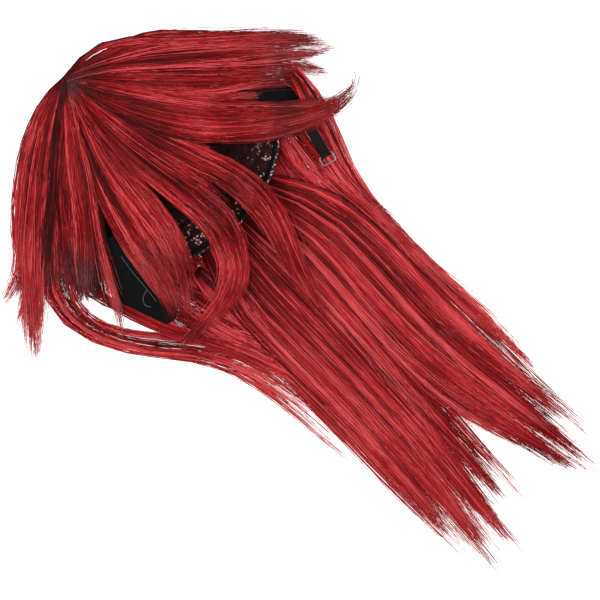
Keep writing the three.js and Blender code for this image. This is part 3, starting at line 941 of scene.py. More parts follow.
@dataclass(frozen=True)
class LaceGlints:
    """Painted highlights: pale glints of lace in the base colour, from one place along the part to another
    where they are full.

    An edge is the pair of values between which a spot or a blot fades in.
    """

    # The painted highlight colour.
    colour: Colour = (0.95, 0.50, 0.48)
    reach: tuple[float, float] = (-0.150, -0.118)
    spots: float = 340.0
    spot_edge: tuple[float, float] = (0.46, 0.24)
    blots: float = 120.0
    blot_edge: tuple[float, float] = (0.46, 0.58)

    def over(
        self, nodes: bpy.types.Nodes, links: bpy.types.NodeLinks, plain: bpy.types.NodeSocket
    ) -> bpy.types.NodeSocket:
        """Adds the glints to a cloth.

        Args:
            nodes: The material's nodes.
            links: Its links.
            plain: The cloth's colour.

        Returns:
            The colour with glints.
        """
        place, split = add_node(nodes, "TexCoord"), add_node(nodes, "SeparateXYZ")
        zone, near, some = (
            add_node(nodes, "MapRange", {"From Min": low, "From Max": high})
            for low, high in (self.reach, self.spot_edge, self.blot_edge)
        )
        spots = add_node(nodes, "TexVoronoi", {"Scale": self.spots})
        blots = add_node(nodes, "TexNoise", {"Scale": self.blots})
        both, all_three = add_node(nodes, "Math"), add_node(nodes, "Math")
        both.operation = all_three.operation = "MULTIPLY"
        mix = add_node(nodes, "Mix")
        mix.data_type = "RGBA"
        mix.inputs["B"].default_value = (*self.colour, 1)
        join(
            links,
            (place.outputs["Object"], split.inputs["Vector"]),
            (split.outputs["X"], zone.inputs["Value"]),
            (place.outputs["Object"], spots.inputs["Vector"]),
            (spots.outputs["Distance"], near.inputs["Value"]),
            (place.outputs["Object"], blots.inputs["Vector"]),
            (blots.outputs["Fac"], some.inputs["Value"]),
            (zone.outputs["Result"], both.inputs[0]),
            (near.outputs["Result"], both.inputs[1]),
            (both.outputs["Value"], all_three.inputs[0]),
            (some.outputs["Result"], all_three.inputs[1]),
            (all_three.outputs["Value"], mix.inputs["Factor"]),
            (plain, mix.inputs["A"]),
        )
        return mix.outputs["Result"]


@dataclass(frozen=True)
class ClothFinish:
    """Dark cloth with a fine woven or netted relief, and painted highlights (glints) where it is lace."""

    name: str
    ground: Colour
    thread: Colour
    scale: float
    relief: float
    thread_width: float = 0.12
    relief_depth: float = 0.0006
    roughness: float = 0.6
    gloss: float = 0.12
    lace: LaceGlints | None = None

    def material(self) -> bpy.types.Material:
        """The finish as a material.

        Returns:
            The material.
        """
        made, nodes, links, shader = blank(self.name)
        threads = nodes.new("ShaderNodeGroup")
        threads.node_tree = ThreadGroup().tree()
        threads.inputs["Scale"].default_value = self.scale
        threads.inputs["Thread Width"].default_value = self.thread_width
        threads.inputs["Ground"].default_value = (*self.ground, 1)
        threads.inputs["Thread"].default_value = (*self.thread, 1)
        bump = add_node(nodes, "Bump", {"Strength": self.relief, "Distance": self.relief_depth})
        plain = threads.outputs["Color"]
        join(
            links,
            (threads.outputs["Height"], bump.inputs["Height"]),
            (bump.outputs["Normal"], shader.inputs["Normal"]),
            (self.lace.over(nodes, links, plain) if self.lace else plain, shader.inputs["Base Color"]),
        )
        shader.inputs["Roughness"].default_value = self.roughness
        shader.inputs["Specular IOR Level"].default_value = self.gloss
        return made


@dataclass(frozen=True)
class WireFinish:
    """Bright drawn wire with faint draw marks."""

    colour: Colour = (0.42, 0.42, 0.43)
    roughness: tuple[float, float] = (0.18, 0.3)
    mark_scale: float = 900.0

    def material(self) -> bpy.types.Material:
        """The finish as a material.

        Returns:
            The material.
        """
        made, nodes, links, shader = blank("hook_steel")
        smoothest, roughest = self.roughness
        place = add_node(nodes, "TexCoord")
        noise = add_node(nodes, "TexNoise", {"Scale": self.mark_scale})
        span = add_node(nodes, "MapRange", {"To Min": smoothest, "To Max": roughest})
        join(
            links,
            (place.outputs["Object"], noise.inputs["Vector"]),
            (noise.outputs["Fac"], span.inputs["Value"]),
            (span.outputs["Result"], shader.inputs["Roughness"]),
        )
        shader.inputs["Base Color"].default_value = (*self.colour, 1)
        shader.inputs["Metallic"].default_value = 1.0
        return made


def dress(piece: bpy.types.Object, finish: bpy.types.Material, slot: Slot, *nodes: str) -> bpy.types.Object:
    """Gives a piece its finish and its place in the part.

    Args:
        piece: The piece.
        finish: Its material.
        slot: The record's slot; not used.
        nodes: Solids that it stands for.

    Returns:
        The piece.
    """
    piece.data.materials.clear()
    piece.data.materials.append(finish)
    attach(piece, "root")
    if nodes:
        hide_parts(*nodes)
    LOG.info("%s: %d faces", piece.name, len(piece.data.polygons))
    return piece


# Tresses of each short layer, by the solid that they stand for. A tone below 0 is mostly painted
# shade, in gaps and where locks overlap, and a tip below 0 is painted shade at the lower ends.
LAYERS: dict[str, tuple[Tress, ...]] = {
    "layer_right_1": (
        Tress(((47, 100), (33, 135), (25, 180), (22, 225), (23, 262), (15, 290), (-2, 310)),
              (8, 3.5), 1, hang=0.5, tone=0.08),
        Tress(((49, 104), (38, 142), (31, 190), (28, 235), (28, 280), (23, 308), (17, 328)),
              (8, 2.5), 3, tone=0.08),
    ),
    "layer_right_2": (
        Tress(((51, 106), (40, 148), (34, 195), (31, 240), (30, 290), (28, 330), (29, 353)),
              (8, 2.5), 5, hang=0.45, tone=0.08),
    ),
    "layer_right_3": (
        Tress(((54, 112), (46, 160), (40, 208), (37, 255), (36, 300), (35, 345), (37, 374)),
              (9, 2), 6, hang=0.45, tone=0.08),
        Tress(((57, 114), (50, 160), (45, 205), (41, 245), (38, 290), (36, 332)), (8, 2.5), 2),
    ),
    "layer_right_4": (
        Tress(((58, 114), (52, 160), (48, 200), (43, 235), (38, 270), (34, 302)), (8, 4), 4),
        # Painted shade: the lower ends of this tress are darkened, and the thin dark tress under it stands in
        # for the shaded gap beside it.
        Tress(((61, 118), (57, 165), (56, 205), (58, 240), (59, 268), (61, 296)),
              (9, 7), 0, hang=0.4, tip=-0.3),
        Tress(((60, 118), (55, 165), (52, 205), (49, 240), (47, 270), (46, 294)),
              (3, 2.5), 8, strands=60, tone=-0.5, first_end=0.96, width=0.7, tip=-0.2),
    ),
    "layer_right_5": (
        # Painted shade: the lower ends of these tresses are darkened.
        Tress(((66, 122), (65, 168), (67, 208), (71, 243), (74, 272), (78, 302)),
              (10, 7), 1, hang=0.4, tip=-0.3),
        Tress(((72, 124), (77, 165), (82, 200), (86, 230), (86, 264), (88, 302)),
              (9, 5), 3, hang=0.4, tip=-0.2),
    ),
    "layer_right_wisp": (
        # Painted shade: the first three tresses are dark strands that fill the shaded windows under the
        # layers, with darkened tips.
        Tress(((68, 124), (72, 170), (78, 212), (82, 250), (84, 278), (87, 300)),
              (11, 9), -3, strands=190, tone=-0.2, first_end=0.96, width=0.85, tip=-0.2),
        Tress(((64, 122), (63, 170), (66, 212), (70, 248), (75, 276), (80, 302)),
              (15, 14), -8, strands=130, stations=7, tone=-0.4, first_end=0.92, width=1.2, tip=-0.2),
        Tress(((76, 128), (86, 176), (94, 215), (99, 248), (102, 274), (104, 297)),
              (8, 8), -3, strands=190, tone=-0.65, first_end=0.97, width=0.75, tip=-0.2),
        Tress(((78, 130), (90, 180), (97, 222), (103, 252), (112, 285), (121, 312), (125, 342)),
              (3, 1.6), 7, strands=120, tone=0.15),
    ),
    "fringe_1": (
        Tress(((81, 128), (99, 178), (116, 214), (137, 250), (159, 286), (176, 320)),
              (8, 2.5), 2, tone=-0.08),
        Tress(((85, 128), (107, 178), (131, 216), (153, 252), (170, 286), (182, 325)),
              (8, 2.5), 4, tone=-0.08),
    ),
    "fringe_2": (
        Tress(((90, 128), (117, 174), (145, 210), (169, 246), (184, 282), (188, 320)),
              (8.5, 2.5), 6, tone=-0.08),
        Tress(((97, 130), (130, 172), (161, 207), (179, 238), (190, 268), (194, 300)),
              (2.5, 1), 7, strands=90),
    ),
    "fringe_3": (
        Tress(((99, 127), (138, 167), (177, 198), (206, 223), (223, 249), (227, 277), (217, 304), (198, 328),
               (177, 352)), (5.5, 1.5), 3, strands=230, stations=15, tone=-0.06),
    ),
    "fringe_4": (
        Tress(((104, 124), (150, 162), (190, 192), (219, 218), (235, 243), (240, 272), (232, 299), (213, 318),
               (192, 336)), (6.5, 2), 5, strands=240, stations=15, tone=-0.08),
        Tress(((109, 124), (158, 160), (202, 190), (230, 215), (244, 243), (247, 275), (240, 300),
               (226, 317)), (2.5, 1), 7, strands=80, stations=15),
        Tress(((108, 118), (152, 150), (190, 175), (215, 196), (231, 214)), (5, 1.5), 3, strands=150),
    ),
    "fringe_wide": (
        # Painted shadow: these tresses are darker under the curl lock's lower edge.
        Tress(((112, 112), (160, 138), (200, 157), (232, 173), (254, 190), (271, 209), (283, 231), (297, 262),
               (315, 298), (331, 326)), (8.5, 3), 2, strands=260, stations=14, tone=-0.14),
        Tress(((108, 114), (150, 141), (190, 163), (222, 180), (246, 199), (264, 219), (277, 242), (290, 268),
               (303, 295)), (6, 2), 4, strands=200, stations=14, tone=-0.08),
    ),
    "layer_left_curl": (
        Tress(((95, 98), (125, 114), (165, 128), (210, 135), (257, 132), (300, 123), (322, 115), (341, 106),
               (353, 93), (359, 80), (358, 64)), (7.5, 3), 8, strands=300, stations=16, tone=-0.08),
        Tress(((98, 94), (135, 105), (180, 115), (225, 119), (257, 117), (300, 113), (322, 108), (341, 99),
               (354, 86)), (7.5, 3), 6, strands=250, stations=14, tone=-0.08),
        # Painted shadow: a dark tress under the curl's lower edge.
        Tress(((97, 101), (128, 120), (160, 135), (192, 146), (218, 151)),
              (5, 2), 1, strands=150, tone=-0.3),
    ),
    "layer_left_1": (
        Tress(((103, 90), (150, 101), (200, 110), (245, 113), (285, 110), (312, 105), (332, 100)),
              (7, 4), 3),
        Tress(((106, 85), (150, 92), (200, 98), (230, 97), (264, 95)),
              (7, 1.5), 2, tone=-0.12, first_end=0.62),
        Tress(((108, 81), (155, 85), (205, 87), (250, 83), (285, 80), (308, 83), (322, 89)),
              (7, 2.5), 1, tone=-0.08),
    ),
    "layer_left_2": (
        Tress(((104, 74), (150, 72), (200, 71), (250, 69), (290, 68), (318, 70), (334, 74)), (7, 2.5), 6),
        Tress(((102, 70), (150, 64), (200, 60), (250, 57), (295, 55), (322, 52), (338, 47)), (7.5, 2), 7),
    ),
    "layer_left_3": (
        Tress(((85, 70), (110, 62), (140, 53), (180, 48), (235, 45), (285, 42), (318, 41), (333, 43)),
              (7, 2.5), 2, hang=0.45),
    ),
    "layer_left_4": (
        Tress(((80, 64), (97, 50), (118, 44), (141, 41), (180, 43), (230, 41), (280, 38), (325, 38)),
              (3, 2), 5, strands=130),
        Tress(((86, 69), (112, 60), (142, 51), (182, 45), (235, 42), (285, 39), (322, 37)),
              (6, 2), 4, hang=0.45),
        Tress(((88, 66), (112, 54), (138, 44), (165, 38), (200, 39), (250, 41), (300, 41)),
              (5, 2), 1, hang=0.45),
    ),
}


@dataclass
class ShortLayers:
    """The short layers and the fringe, with cover hair down both sides of the cap.

    cover gives, by the solid that it goes with, the cover hair's angles round the whorl.
    """

    under_strands: int = 60
    under_stations: int = 9
    under_top: float = -0.05
    # Under strands are painted a little darker, as shade under their tress.
    under_shade: float = -0.06
    # Roots are painted darker, as shade, over the first part of each tress from the whorl.
    spec: StrandSpec = StrandSpec(230, wave=1.4, tone=-0.03, root=-0.42, root_end=0.36, drift=0.1)
    first_seed: int = 100
    cover: dict[str, tuple[float, ...]] = field(
        default_factory=lambda: {"layer_right_1": (168.0, 184.0), "layer_left_4": (12.0, 356.0)}
    )
    cover_half: float = 17.0
    cover_away: tuple[float, float] = (5.0, 98.0)
    cover_stations: int = 24
    cover_offsets: tuple[float, float] = (0.8, 4.0)
    cover_thickness: float = 2.6
    cover_spec: StrandSpec = StrandSpec(
        110, stations=10, width=0.7, first_end=0.9, free=0.4, depth=(0.2, 1.0), tone=-0.1
    )

    def cover_guide(self, round_deg: float) -> LaneGuide:
        """Cover hair's guide, close to the cap from the whorl towards the mouth's side.

        Args:
            round_deg: Angle round the whorl from the wearer's left.

        Returns:
            The guide.
        """
        away, even = np.linspace(*self.cover_away, self.cover_stations), np.ones(self.cover_stations)
        low, high = (CAP.from_whorl(round_deg, away, even * offset) for offset in self.cover_offsets)
        half = self.cover_half * np.sin(np.radians(np.clip(away, 0, 90)))
        return LaneGuide(low, unit(high - low), half, even * self.cover_thickness)

    def build(self, finish: bpy.types.Material) -> None:
        """Builds and dresses every layer.

        Args:
            finish: The fibre's material.
        """
        seed = self.first_seed
        for name, tresses in LAYERS.items():
            bundles = []
            for tress in tresses:
                guide = TressGuide(tress)
                spec = replace(
                    self.spec,
                    count=tress.strands,
                    stations=tress.stations,
                    width=tress.width,
                    first_end=tress.first_end,
                    tone=self.spec.tone + tress.tone,
                    tip=tress.tip,
                )
                bundles.append(GROWTH.strands(guide, spec, seed))
                if tress.hang:
                    under = replace(
                        spec,
                        count=self.under_strands,
                        stations=self.under_stations,
                        depth=(-tress.hang, self.under_top),
                        tone=self.under_shade,
                    )
                    bundles.append(GROWTH.strands(guide, under, seed + 1))
                seed += 2
            for round_deg in self.cover.get(name, ()):
                bundles.append(GROWTH.strands(self.cover_guide(round_deg), self.cover_spec, seed))
                seed += 1
            dress(strand_piece(name + "_hair", bundles), finish, Slot.HAIR, name)


@dataclass(frozen=True)
class LaneRow:
    """One long lock: its place at the nape and half way, and its tip."""

    nape_y: float
    halfway_y: float
    tip_x: float
    tip_y: float


BACK_ROWS = (
    LaneRow(-50, -54, 597, -62),
    LaneRow(-30, -37, 620, -53),
    LaneRow(-9, -18, 612, -38),
    LaneRow(13, 2, 635, -23),
    LaneRow(34, 22, 606, 14),
    LaneRow(56, 49, 638, 68),
    LaneRow(78, 73, 632, 84),
    LaneRow(99, 96, 604, 103),
)
NAPE_ROWS = (
    LaneRow(-40, -46, 560, -57),
    LaneRow(-20, -28, 600, -47),
    LaneRow(2, -8, 606, -25),
    LaneRow(24, 12, 580, 3),
    LaneRow(46, 37, 618, 69),
    LaneRow(67, 61, 612, 83),
    LaneRow(88, 85, 575, 98),
)


@dataclass(frozen=True)
class SideTress:
    """One thin tress of a side lock: marks along it with heights, its half width and its strands."""

    marks: tuple[Mark, ...]
    half: float
    strands: int


SIDES: dict[str, tuple[SideTress, ...]] = {
    "side_lock_right": (
        SideTress(((50, 232, 64), (45, 266, 50), (52, 300, 30), (78, 329, 8), (120, 347, 2), (165, 355, 2),
                   (215, 362, 2), (270, 390, 2), (322, 434, 2), (360, 466, 2)), 3.5, 80),
        SideTress(((58, 236, 64), (54, 274, 48), (66, 307, 26), (92, 330, 8), (128, 343, 3), (160, 349, 3),
                   (195, 351, 3), (245, 365, 4), (300, 402, 4), (350, 450, 4), (384, 482, 3)), 3.2, 70),
        SideTress(((72, 244, 62), (69, 278, 48), (78, 304, 30), (97, 322, 16), (124, 332, 8), (156, 337, 5),
                   (190, 341, 5), (217, 347, 5), (262, 366, 6), (320, 405, 6)), 3, 60),
        SideTress(((84, 250, 62), (84, 276, 50), (94, 295, 34), (114, 303, 24), (138, 312, 14), (162, 322, 9),
                   (186, 333, 7), (217, 344, 6), (268, 367, 8), (330, 405, 8)), 3, 70),
        SideTress(((98, 290, 46), (108, 300, 42), (126, 311, 33), (146, 321, 24), (170, 331, 15),
                   (212, 341, 9), (262, 360, 10), (330, 398, 10)), 3.5, 100),
        SideTress(((178, 315, 15), (196, 321, 11), (215, 332, 8), (262, 352, 10), (330, 392, 10)), 10, 120),
        SideTress(((172, 288, 21), (193, 303, 13), (215, 319, 10), (262, 345, 9), (330, 385, 9)), 13, 150),
        SideTress(((196, 270, 14), (215, 290, 11), (242, 316, 9), (300, 362, 9)), 12, 115),
        SideTress(((162, 312, 9), (184, 323, 8), (206, 335, 7), (262, 358, 8), (330, 396, 9)), 8, 64),
        SideTress(((168, 296, 9), (190, 310, 8), (216, 325, 7), (262, 349, 8), (330, 389, 9)), 9, 64),
    ),
    "side_lock_left": (
        SideTress(((288, 68, 58), (300, 82, 52), (310, 99, 38), (322, 124, 14), (340, 163, 5), (368, 203, 4),
                   (420, 250, 4)), 6, 110),
        SideTress(((294, 70, 56), (305, 83, 48), (316, 102, 30), (331, 134, 6), (346, 171, 2), (369, 207, 2),
                   (400, 240, 2), (434, 271, 2), (487, 320, 2), (531, 368, 2)), 6, 150),
        SideTress(((281, 72, 60), (295, 85, 50), (308, 108, 26), (325, 144, 7), (343, 178, 5), (374, 214, 5),
                   (422, 262, 5), (466, 306, 5), (505, 342, 5), (540, 376, 4)), 5, 110),
        SideTress(((264, 92, 46), (288, 108, 28), (306, 130, 16), (322, 156, 9), (344, 186, 7), (384, 226, 7),
                   (440, 276, 7)), 9, 130),
        SideTress(((276, 136, 16), (290, 154, 10), (312, 174, 8), (350, 206, 8), (400, 252, 8),
                   (440, 290, 8)), 14, 140),
    ),
}


@dataclass
class LongHair:
    """The long hair: back, nape and side locks.

    A back lane wraps the cap from the whorl, thickening on its way, and then lies on the floor. A nape
    lane comes out from under the rim and lies on the back hair as its bed.
    """

    wrap_round: tuple[float, float] = (196.0, 344.0)
    wrap_away: tuple[float, float] = (9.0, 122.0)
    wrap_stations: int = 9
    wrap_gap: float = 1.7
    wrap_thickness: tuple[float, float] = (2.4, 6.0)
    floor_thickening: float = 2.0
    tip_thickness: float = 3.0
    steps: int = 8
    nape_x: float = 250.0
    halfway_x: float = 440.0
    root_x: float = 200.0
    root_fan: float = 0.62
    root_reach: float = 0.99
    root_gap: float = 8.2
    fan_x: float = 266.0
    bed: tuple[float, float] = (8.8, 5.6)
    nape_thickness: tuple[float, float] = (7.0, 2.4)
    fine: int = 60
    half: float = 14.0
    root_share: float = 0.5
    tip_share: float = 0.3
    rival_share: float = 0.62
    taper: float = 200.0
    back_swell: float = 40.0
    nape_swell: float = 20.0
    side_clumps: float = 1.2
    side_lowest: float = 0.5
    side_swell: float = 0.2
    side_taper: float = 0.6
    side_taper_from: float = 0.6
    side_thickness: tuple[float, float] = (2.0, 3.0)
    first_seed: int = 300
    # Painted light: tips are lightened (tip and least). Painted shade: roots are darkened where the locks
    # come out from under the rim and the layers.
    back_spec: StrandSpec = StrandSpec(
        150, stations=14, width=0.8, first_end=0.76, clumps=14, free=0.35, gather=0.75, stray=0.5,
        tone=0.1, tip=0.12, least=0.76, least_from=0.72,
    )
    nape_spec: StrandSpec = StrandSpec(
        590, stations=9, width=0.57, first_end=0.72, clumps=26, free=0.2, gather=0.75, wave=1.5, stray=0.5,
        tone=0.05, root=-0.3, root_end=0.4, tip=0.12, drift=0.1, least=0.76, least_from=0.72,
    )
    side_spec: StrandSpec = StrandSpec(
        90, stations=13, width=0.62, first_end=0.72, clumps=4, free=0.1, gather=0.55, wave=1.0, stray=0.5,
        tone=0.12, root=-0.45, root_end=0.3,
    )

    def back(self, index: int) -> tuple[Array, Array, Array]:
        """A back lane's line from the whorl, round the cap and along the floor.

        Args:
            index: The lane's place in the table.

        Returns:
            Its points, up ways and thickness.
        """
        lane, count = BACK_ROWS[index], self.wrap_stations
        first, last = self.wrap_round
        round_deg = first + (last - first) * index / (len(BACK_ROWS) - 1)
        thickness = np.linspace(*self.wrap_thickness, count)
        away = np.linspace(*self.wrap_away, count)
        wraps = CAP.from_whorl(round_deg, away, self.wrap_gap + thickness)
        inward = unit(CAP.from_whorl(round_deg, away, np.zeros(count)) - wraps)
        floor = np.zeros((3, 3))
        floor[:, :2] = (self.nape_x, lane.nape_y), (self.halfway_x, lane.halfway_y), (lane.tip_x, lane.tip_y)
        knots = np.vstack([wraps, floor])
        line = spline(knots, self.steps * len(knots) + 1)
        line[:, 2] = np.maximum(line[:, 2], 0)
        knot = np.linspace(0, len(knots) - 1, len(line))
        grounded = smooth(knot, count - 1, count)
        where = np.clip(knot, 0, count - 1)
        up = np.stack([np.interp(where, np.arange(count), inward[:, i]) for i in range(3)], -1)
        up = unit(up * (1 - grounded)[:, None] + UP * grounded[:, None])
        depth = np.interp(where, np.arange(count), thickness) + self.floor_thickening * grounded
        ending = smooth(line[:, 0], self.halfway_x, lane.tip_x) * (knot > count)
        return line, up, depth + (self.tip_thickness - depth) * ending

    def nape(self, lane: LaneRow) -> tuple[Array, Array, Array]:
        """A nape lane's line, which fans out from under the rim onto the back hair.

        Args:
            lane: The lane.

        Returns:
            Its points, up ways and thickness.
        """
        (cx, cy, cz), (hx, hy, hz) = CAP.centre, CAP.half
        root_y = cy + (lane.nape_y - cy) * self.root_fan
        away = min(math.hypot((self.root_x - cx) / hx, (root_y - cy) / hy), self.root_reach)
        below = (1 - away**CAP.squareness) ** (1 / CAP.squareness)
        bed, tip_bed = self.bed
        knots = [
            (self.root_x, root_y, cz - hz * below - self.root_gap),
            (self.fan_x, lane.nape_y, bed),
            (self.halfway_x, lane.halfway_y, bed),
            (lane.tip_x, lane.tip_y, tip_bed),
        ]
        line = spline(np.array(knots, float), self.fine)
        ending = smooth(line[:, 0], self.halfway_x, lane.tip_x)
        line[:, 2] = np.maximum(line[:, 2], bed + (tip_bed - bed) * ending)
        thick, thin = self.nape_thickness
        return line, np.tile(UP, (self.fine, 1)), thick + (thin - thick) * ending

    def side(self, tress: SideTress) -> LaneGuide:
        """A side tress's guide.

        Args:
            tress: The tress.

        Returns:
            The guide.
        """
        marks = np.array(tress.marks, float)
        line = even_curve(np.column_stack([LAY.plan(marks), marks[:, 2]]), self.fine)
        line[:, 2] = np.maximum(line[:, 2], self.side_lowest)
        share = np.linspace(0, 1, self.fine)
        full = smooth(share, -self.side_swell, self.side_swell)
        full = full * (1 - self.side_taper * smooth(share, self.side_taper_from, 1.0))
        thin, more = self.side_thickness
        return LaneGuide(line, np.tile(UP, (self.fine, 1)), tress.half * full, thin + more * full)

    def widths(self, lines: list[Array], swell: float) -> list[Array]:
        """Half widths that neighbouring lanes leave.

        Args:
            lines: The lanes' lines.
            swell: Length over which a lane fills out.

        Returns:
            One row of half widths a lane.
        """
        found = []
        for index, line in enumerate(lines):
            step = np.linalg.norm(np.diff(line, axis=0), axis=1)
            along = np.concatenate([[0], np.cumsum(step)])
            full = self.root_share + (1 - self.root_share) * smooth(along, 0, swell)
            ending = smooth(along[-1] - along, 0, self.taper)
            full = full * (self.tip_share + (1 - self.tip_share) * ending)
            rivals = [other for i, other in enumerate(lines) if i != index]
            found.append(np.minimum(self.half * full, nearest_route(line, rivals) * self.rival_share))
        return found

    def build(self, finish: bpy.types.Material) -> None:
        """Builds and dresses every long lock.

        Args:
            finish: The fibre's material.
        """
        seed = self.first_seed
        backs = [self.back(i) for i in range(len(BACK_ROWS))]
        napes = [self.nape(lane) for lane in NAPE_ROWS]
        for stem, lanes, spec, swell in (
            ("back_hair", backs, self.back_spec, self.back_swell),
            ("nape_hair", napes, self.nape_spec, self.nape_swell),
        ):
            halves = self.widths([line for line, _, _ in lanes], swell)
            for index, ((line, up, thickness), half) in enumerate(zip(lanes, halves)):
                name = f"{stem}_{index + 1}"
                strands = GROWTH.strands(LaneGuide(line, up, half, thickness), spec, seed)
                dress(strand_piece(name + "_hair", [strands]), finish, Slot.HAIR, name)
                seed += 1
        for name, tresses in SIDES.items():
            bundles = []
            for tress in tresses:
                clumps = max(self.side_spec.clumps, round(self.side_clumps * tress.half))
                spec = replace(self.side_spec, count=tress.strands, clumps=clumps)
                bundles.append(GROWTH.strands(self.side(tress), spec, seed))
                seed += 1
            dress(strand_piece(name + "_hair", bundles), finish, Slot.HAIR, name)


@dataclass(frozen=True)
class TabRow:
    """One ear tab: a rounded flap's middle, half length, half width and turn in plan, and its flat size."""

    name: str
    middle: tuple[float, float]
    half_length: float
    half_width: float
    turn: float
    flat: tuple[float, float]


@dataclass(frozen=True)
class BandRow:
    """One elastic ribbon: its angles round the mouth, its depth in degrees and its flat size."""

    name: str
    span: tuple[float, float]
    depth: float
    flat: tuple[float, float]


@dataclass(frozen=True)
class CapCloths:
    """The materials of the cap."""

    net: bpy.types.Material
    elastic: bpy.types.Material
    tab: bpy.types.Material
    weft: bpy.types.Material
    thread: bpy.types.Material


@dataclass
class Cap:
    """The net cap with its bands, ear tabs, sewn rows and strap.

    Ribbons lie inside the net at the offset lining. The strap bends down from its root and turns round
    the eye, the bar of its hook.
    """

    net_grid: tuple[int, int] = (120, 48)
    net_pole: float = 0.4
    net_flat: tuple[float, float] = (0.32, 0.32)
    net_area: float = 0.0640
    lining: float = -2.6
    ribbon_grid: tuple[int, int] = (60, 6)
    weft_rows: int = 6
    weft_first: float = 97.0
    weft_step: float = 9.0
    weft_width: float = 2.2
    weft_thickness: float = 1.2
    weft_span: tuple[float, float] = (218.0, 322.0)
    band_thickness: float = 1.1
    bands: tuple[BandRow, ...] = (
        BandRow("forehead_band", (10.0, 170.0), 7.0, (0.012, 0.29)),
        BandRow("nape_band", (190.0, 350.0), 6.0, (0.010, 0.20)),
    )
    tabs: tuple[TabRow, ...] = (
        TabRow("ear_tab_right", (184, -92), 50, 25, -8, (0.064, 0.100)),
        TabRow("ear_tab_left", (164, 124), 36, 20, 0, (0.053, 0.072)),
    )
    tab_fill: float = 0.85
    tab_grid: tuple[int, int] = (41, 21)
    tab_end: float = 0.985
    tab_roundness: float = 0.4
    tab_below: float = 4.5
    tab_thickness: float = 1.2
    crease_height: float = 0.5
    crease_turns: tuple[float, float] = (5.0, 2.0)
    tab_seam: tuple[Mark, ...] = ((122, 259), (133, 274), (145, 288), (158, 304))
    thread_end: tuple[Mark, ...] = ((148, 292), (144, 300), (146, 307), (152, 309))
    thread_above: float = 1.2
    thread_stations: int = 16
    thread_width: float = 0.4
    strap_root: tuple[float, float, float] = (203.0, 126.0, 38.0)
    strap_run: float = 25.0
    strap_drop: float = 20.0
    strap_span: tuple[float, float] = (-0.25, 0.9)
    strap_grid: tuple[int, int] = (30, 5)
    strap_width: float = 10.0
    strap_thickness: float = 1.1
    strap_turn: float = -16.0
    strap_eye: float = 1.95
    eye_turn: tuple[float, float] = (-0.5, -5.2)
    eye_stations: int = 18
    strap_flat: tuple[float, float] = (0.01, 0.049)

    @staticmethod
    def shell(name: str, outer: Array, inner: Array, wrap: bool) -> bpy.types.Object:
        """A closed thin wall between two faces.

        Args:
            name: The piece's name.
            outer: Outer face as a grid of points.
            inner: Inner face as a like grid.
            wrap: Whether the columns join round.

        Returns:
            The linked object.
        """
        rows, columns = outer.shape[:2]
        ids = np.arange(rows * columns).reshape(rows, columns)
        if wrap:
            ids = np.hstack([ids, ids[:, :1]])
        top = np.stack([ids[:-1, :-1], ids[:-1, 1:], ids[1:, 1:], ids[1:, :-1]], -1).reshape(-1, 4)
        under = top[:, ::-1] + rows * columns
        around = np.concatenate([ids[-1], ids[::-1, -1][1:], ids[0, ::-1][1:], ids[:, 0][1:]])
        edges = []
        for line in [ids[0, ::-1], ids[-1]] if wrap else [around]:
            a, b = line[:-1], line[1:]
            edges.append(np.stack([b, a, a + rows * columns, b + rows * columns], -1))
        points = LAY.place(np.concatenate([outer.reshape(-1, 3), inner.reshape(-1, 3)]))
        made = mesh_piece(name, points, np.concatenate([top, under, *edges]), np.zeros((0, 3), int))
        work = bmesh.new()
        work.from_mesh(made.data)
        bmesh.ops.remove_doubles(work, verts=work.verts, dist=SHORTEST)
        bmesh.ops.recalc_face_normals(work, faces=work.faces)
        work.to_mesh(made.data)
        work.free()
        return made

    def ribbon(
        self, name: str, span: tuple[float, float], depth: tuple[float, float], thick: float
    ) -> bpy.types.Object:
        """A ribbon along the inside of the bowl.

        Args:
            name: The piece's name.
            span: Angles round the mouth.
            depth: Angles from the back pole.
            thick: Its thickness.

        Returns:
            The linked object.
        """
        stations, columns = self.ribbon_grid
        r, q = np.meshgrid(np.linspace(*span, stations), np.linspace(*depth, columns))
        outer, inner = (CAP.bowl(r, q, offset) for offset in (self.lining, self.lining - thick))
        return self.shell(name, outer, inner, False)

    def tab(self, row: TabRow) -> bpy.types.Object:
        """An ear tab folded out under the layers.

        Args:
            row: The tab.

        Returns:
            The linked object.
        """
        stations, columns = self.tab_grid
        lengthwise = np.linspace(-self.tab_end, self.tab_end, stations)
        along, across = np.meshgrid(lengthwise, np.linspace(-1, 1, columns))
        run = along * row.half_length
        wide = across * row.half_width * (1 - along**2) ** self.tab_roundness
        c, s = math.cos(math.radians(row.turn)), math.sin(math.radians(row.turn))
        x, y = row.middle[0] + run * c - wide * s, row.middle[1] + run * s + wide * c
        turns_along, turns_across = self.crease_turns
        crease = self.crease_height * np.sin(along * turns_along + across * turns_across)
        upper = DRAPE.point(x, y, -self.tab_below + crease)
        lower = DRAPE.point(x, y, -self.tab_below - self.tab_thickness + crease)
        return self.shell(row.name + "_cloth", upper, lower, False)

    def tab_thread(self, row: TabRow) -> bpy.types.Object:
        """The sewing thread on a tab: its seam, and a loose end that hangs from it.

        Args:
            row: The tab.

        Returns:
            The linked object.
        """
        lines = [LAY.plan(np.array(marks, float)) for marks in (self.tab_seam, self.thread_end)]
        plan = np.stack([spline(line, self.thread_stations) for line in lines])
        even = np.zeros(plan.shape[:2])
        points = DRAPE.point(plan[..., 0], plan[..., 1], even + self.thread_above - self.tab_below)
        return strand_piece(row.name + "_thread", [StrandMesh(points, even + self.thread_width, even, even)])

